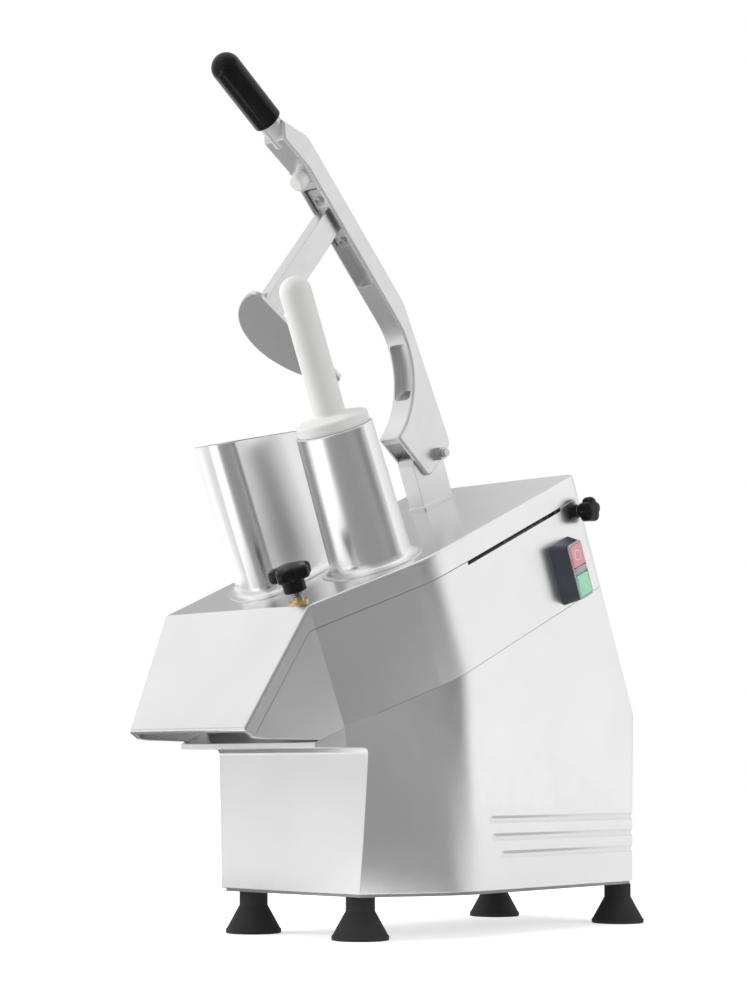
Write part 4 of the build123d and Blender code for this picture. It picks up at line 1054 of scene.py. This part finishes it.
@dataclass
class Studio:
    """Camera, light, floor and the grey cards that the metal reflects; lengths in metres.

    Attributes:
        walls: Cards that stand round the cutter.
        flats: Cards that lie on the floor.
        lamps: Lamps, which light without a reflection of their own.
        radius: Radius at which the walls stand.
        centre: Height at which lamps aim and from which elevations are taken.
        steps: Steps along each side of a card.
        flat_height: Height of the flats above the floor.
        daylight: Brightness of the world as light.
        glow: Brightness that the floor adds for the camera and reflections, near and far.
        glow_reach: Distances at which the glow starts and stops to rise.
        floor_half: Half of the floor's side.
        floor_scale: Waves in each metre of the floor's change of tone.
        floor_tones: Darkest and brightest tone of the floor.
        camera_place: Where the camera stands.
        camera_turn: Turn of the camera about each axis in degrees.
        camera_lens: Focal length in millimetres.
        camera_sensor: Width of the sensor in millimetres.
        camera_rise: Upward shift of the lens as a share of the sensor.
    """

    walls: tuple[Card, ...] = (
        Card(18.0, 26.0, -4.0, 12.0, 0.62),
        Card(26.0, 34.0, -4.0, 12.0, 0.4),
        Card(34.0, 100.0, -4.0, 12.0, 0.21),
        Card(100.0, 122.0, -4.0, 12.0, 0.13),
        Card(122.0, 127.0, -4.0, 12.0, 0.4),
        Card(127.0, 132.0, -4.0, 12.0, 0.65),
        Card(150.0, 180.0, -4.0, 40.0, 0.84),
        Card(20.0, 125.0, 12.0, 62.0, 0.38),
        Card(180.0, 224.0, 12.0, 70.0, 0.7),
        Card(224.0, 262.0, 12.0, 70.0, 0.5),
        Card(-90.0, 18.0, -4.0, 22.0, 0.7),
        Card(-60.0, 20.0, 22.0, 50.0, 0.86),
    )
    flats: tuple[Card, ...] = (
        Card(2.0, 10.0, 0.3, 1.6, 0.6),
        Card(10.0, 96.0, 0.3, 1.6, 0.28),
        Card(96.0, 102.0, 0.3, 1.6, 0.45),
        Card(102.0, 108.0, 0.3, 1.6, 0.68),
        Card(108.0, 200.0, 0.3, 1.6, 0.86),
        Card(16.0, 24.0, 1.6, 3.2, 0.6),
        Card(24.0, 100.0, 1.6, 3.2, 0.22),
        Card(100.0, 122.0, 1.6, 3.2, 0.13),
        Card(122.0, 127.0, 1.6, 3.2, 0.42),
        Card(127.0, 132.0, 1.6, 3.2, 0.65),
        Card(132.0, 200.0, 1.6, 3.2, 0.82),
        # Painted shade: this grey ring beside the base stands in, for the flutes' reflections, for
        # the floor's shade next to the casting.
        Card(80.0, 170.0, 0.1, 0.3, 0.5),
        Card(-90.0, 16.0, 1.6, 3.2, 0.7),
        # Painted shade in part: this dark card close in front darkens what the presser's underside
        # reflects of the floor, which lies partly in the shade of the hood.
        Card(-150.0, -30.0, 0.2, 0.5, 0.25),
        Card(-130.0, -52.0, 0.5, 1.1, 0.33),
        Card(-52.0, 2.0, 0.5, 0.75, 0.5),
        Card(-80.0, -20.0, 1.15, 1.6, 0.68),
    )
    lamps: tuple[Lamp, ...] = (
        Lamp("lamp_top", (0.2, -0.4, 2.6), 2.2, 22.0),
        Lamp("lamp_left", (-1.9, -1.7, 1.3), 1.6, 50.0),
        Lamp("lamp_right", (2.2, 0.9, 1.3), 1.6, 18.0),
    )
    radius: float = 3.2
    centre: float = 0.3
    steps: int = 12
    flat_height: float = 0.003
    daylight: float = 0.22
    glow: Point = (0.55, 1.0)
    glow_reach: Point = (0.5, 1.8)
    floor_half: float = 9.0
    floor_scale: float = 3.0
    floor_tones: tuple[Colour, Colour] = ((0.93, 0.93, 0.93), (0.95, 0.95, 0.95))
    camera_place: Triple = (1.347376, -1.558709, 0.14915)
    camera_turn: Triple = (92.8891, 0.0, 41.8028)
    camera_lens: float = 76.153
    camera_sensor: float = 36.0
    camera_rise: float = 0.17

    def build(self) -> None:
        """Set up the whole studio."""
        self.camera()
        self.world()
        self.floor()
        for lamp in self.lamps:
            self.hang(lamp)
        for number, card in enumerate(self.walls):
            self.sheet(f"wall_{number}", card, self.wall_rows(card))
        for number, card in enumerate(self.flats):
            self.sheet(f"flat_{number}", card, self.flat_rows(card))
        bpy.context.scene.view_settings.view_transform = "Standard"
        LOG.info("studio finished")

    def camera(self) -> None:
        """Put the camera at the photograph's place."""
        data = bpy.data.cameras.new("camera")
        data.lens = self.camera_lens
        data.sensor_width = self.camera_sensor
        data.shift_y = self.camera_rise
        camera = bpy.data.objects.new("camera", data)
        camera.location = self.camera_place
        camera.rotation_euler = tuple(math.radians(turn) for turn in self.camera_turn)
        bpy.context.scene.collection.objects.link(camera)
        bpy.context.scene.camera = camera

    def seen(self, tree: bpy.types.NodeTree, unseen: float, seen: float) -> bpy.types.NodeSocket:
        """Strength that differs between what is seen or reflected and what only gives light.

        Args:
            tree: Node tree to wire.
            unseen: Strength as light.
            seen: Strength for the camera, reflections and clear pieces.

        Returns:
            Strength socket.
        """
        path = tree.nodes.new("ShaderNodeLightPath")
        value = path.outputs["Is Camera Ray"]
        for name in ("Is Glossy Ray", "Is Transmission Ray"):
            either = tree.nodes.new("ShaderNodeMath")
            either.operation = "MAXIMUM"
            tree.links.new(value, either.inputs[0])
            tree.links.new(path.outputs[name], either.inputs[1])
            value = either.outputs[0]
        strength = tree.nodes.new("ShaderNodeMapRange")
        strength.inputs["To Min"].default_value = unseen
        strength.inputs["To Max"].default_value = seen
        tree.links.new(value, strength.inputs["Value"])
        return strength.outputs["Result"]

    def world(self) -> None:
        """White to the camera and to reflections, softer as light."""
        world = bpy.data.worlds.new("studio")
        bpy.context.scene.world = world
        world.use_nodes = True
        tree = world.node_tree
        back = tree.nodes["Background"]
        back.inputs["Color"].default_value = (1.0, 1.0, 1.0, 1.0)
        tree.links.new(self.seen(tree, self.daylight, 1.0), back.inputs["Strength"])

    def floor(self) -> None:
        """Pale floor that keeps the cutter's shadow."""
        graph = Graph("floor_white")
        graph.set(roughness=0.8, specular_ior_level=0.1)
        graph.shader.inputs["Emission Color"].default_value = (1.0, 1.0, 1.0, 1.0)
        still = graph.place()
        far = graph.add("ShaderNodeVectorMath")
        far.operation = "LENGTH"
        graph.tree.links.new(still, far.inputs[0])
        rise = graph.add("ShaderNodeMapRange")
        rise.interpolation_type = "SMOOTHSTEP"
        ends = zip(("From Min", "From Max", "To Min", "To Max"), self.glow_reach + self.glow)
        for name, value in ends:
            rise.inputs[name].default_value = value
        graph.tree.links.new(far.outputs["Value"], rise.inputs["Value"])
        both = graph.add("ShaderNodeMath")
        both.operation = "MULTIPLY"
        graph.tree.links.new(rise.outputs["Result"], both.inputs[0])
        graph.tree.links.new(self.seen(graph.tree, 0.0, 1.0), both.inputs[1])
        graph.tree.links.new(both.outputs[0], graph.shader.inputs["Emission Strength"])
        graph.tint(graph.noise(still, self.floor_scale), *self.floor_tones)
        half = self.floor_half
        corners = [(-half, -half, 0.0), (half, -half, 0.0), (half, half, 0.0), (-half, half, 0.0)]
        self.stand("floor", corners, [(0, 1, 2, 3)], graph.material)

    def stand(self, name: str, points: list[Triple], faces: list[tuple[int, ...]],
              material: bpy.types.Material) -> bpy.types.Object:
        """Put a sheet of the studio into the scene.

        Args:
            name: Name of the sheet.
            points: Its corners.
            faces: Corners of each face.
            material: Its material.

        Returns:
            The new object.
        """
        mesh = bpy.data.meshes.new(name)
        mesh.from_pydata(points, [], faces)
        mesh.materials.append(material)
        sheet = bpy.data.objects.new(name, mesh)
        bpy.context.scene.collection.objects.link(sheet)
        return sheet

    def hang(self, lamp: Lamp) -> None:
        """Hang one lamp that lights without a reflection of its own.

        Args:
            lamp: The lamp.
        """
        data = bpy.data.lights.new(lamp.name, "AREA")
        data.size = lamp.size
        data.energy = lamp.power
        light = bpy.data.objects.new(lamp.name, data)
        light.location = lamp.place
        aim = Vector((0.0, 0.0, self.centre)) - Vector(lamp.place)
        light.rotation_euler = aim.to_track_quat("-Z", "Y").to_euler()
        light.visible_glossy = False
        bpy.context.scene.collection.objects.link(light)

    def even(self, low: float, high: float) -> list[float]:
        """Values at even steps from one end to the other."""
        return [low + (high - low) * step / self.steps for step in range(self.steps + 1)]

    def wall_rows(self, card: Card) -> list[Point]:
        """Radius and height of each row of a standing card."""
        rises = [math.radians(rise) for rise in self.even(card.low, card.high)]
        return [(self.radius * math.cos(rise), self.radius * math.sin(rise) + self.centre)
                for rise in rises]

    def flat_rows(self, card: Card) -> list[Point]:
        """Radius and height of each row of a card on the floor."""
        return [(radius, self.flat_height) for radius in self.even(card.low, card.high)]

    def sheet(self, name: str, card: Card, rows: list[Point]) -> None:
        """Sweep rows through an azimuth and let the sheet glow evenly for reflections only.

        Args:
            name: Name of the sheet.
            card: Its azimuths and brightness.
            rows: Radius and height of each row.
        """
        turns = [math.radians(turn) for turn in self.even(card.start, card.end)]
        points = [(radius * math.sin(turn), -radius * math.cos(turn), height)
                  for radius, height in rows for turn in turns]
        count = len(turns)
        faces = []
        for row in range(self.steps):
            for column in range(self.steps):
                corner = row * count + column
                faces.append((corner, corner + 1, corner + count + 1, corner + count))
        graph = Graph(name)
        graph.set(emission_strength=1.0, roughness=1.0, specular_ior_level=0.0)
        graph.shader.inputs["Base Color"].default_value = (0.0, 0.0, 0.0, 1.0)
        graph.shader.inputs["Emission Color"].default_value = (card.grey, card.grey, card.grey, 1.0)
        sheet = self.stand(name, points, faces, graph.material)
        sheet.visible_camera = False
        sheet.visible_diffuse = False
        sheet.visible_shadow = False
        sheet.visible_transmission = False


ASSEMBLIES = (
    Base("base", {
        "base_housing": Finish.CAST, "bottom_plate": Finish.PLATE, "foot_screws": Finish.STEEL,
        "cable_gland": Finish.BLACK,
    }),
    Head("head", {
        "head_housing": Finish.CAST, "bearing_upper": Finish.STEEL, "bearing_lower": Finish.STEEL,
        "motor_plate": Finish.PLATE, "motor_screws": Finish.STEEL, "motor_body": Finish.MOTOR,
        "drive_belt": Finish.RUBBER,
    }),
    Drive("drive", {
        "spindle": Finish.STEEL, "spindle_pulley": Finish.STEEL, "ejector_disc": Finish.NYLON,
        "slicing_disc": Finish.CHUTE, "slicing_blades": Finish.STEEL, "motor_shaft": Finish.STEEL,
        "motor_pulley": Finish.STEEL,
    }),
    Cover("cover", {
        "cover": Finish.CAST, "d_chute": Finish.CHUTE, "round_chute": Finish.CHUTE,
        "pusher": Finish.NYLON,
    }),
    StarKnobs("hinge and lock", {
        "hinge_pin": Finish.STEEL, "lock_stud": Finish.STEEL, "lock_bush": Finish.BRASS,
        "lock_spring": Finish.STEEL,
    }),
    Lever("lever", {
        "lever_arm": Finish.LEVER, "lever_post": Finish.LEVER, "presser": Finish.LEVER,
        "lever_grip": Finish.BLACK, "lever_bumper": Finish.NYLON, "presser_screws": Finish.STEEL,
        "pivot_bolt": Finish.STEEL, "pivot_nut": Finish.STEEL,
    }),
    Switch("switch", {"switch_body": Finish.SWITCH, "switch_frame": Finish.BEZEL}),
)


def main() -> None:
    """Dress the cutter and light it."""
    logging.basicConfig(level=logging.INFO, format="%(name)s: %(message)s")
    for assembly in ASSEMBLIES:
        assembly.build()
    Studio().build()
    bpy.context.view_layer.update()


if __name__ == "__main__":
    main()
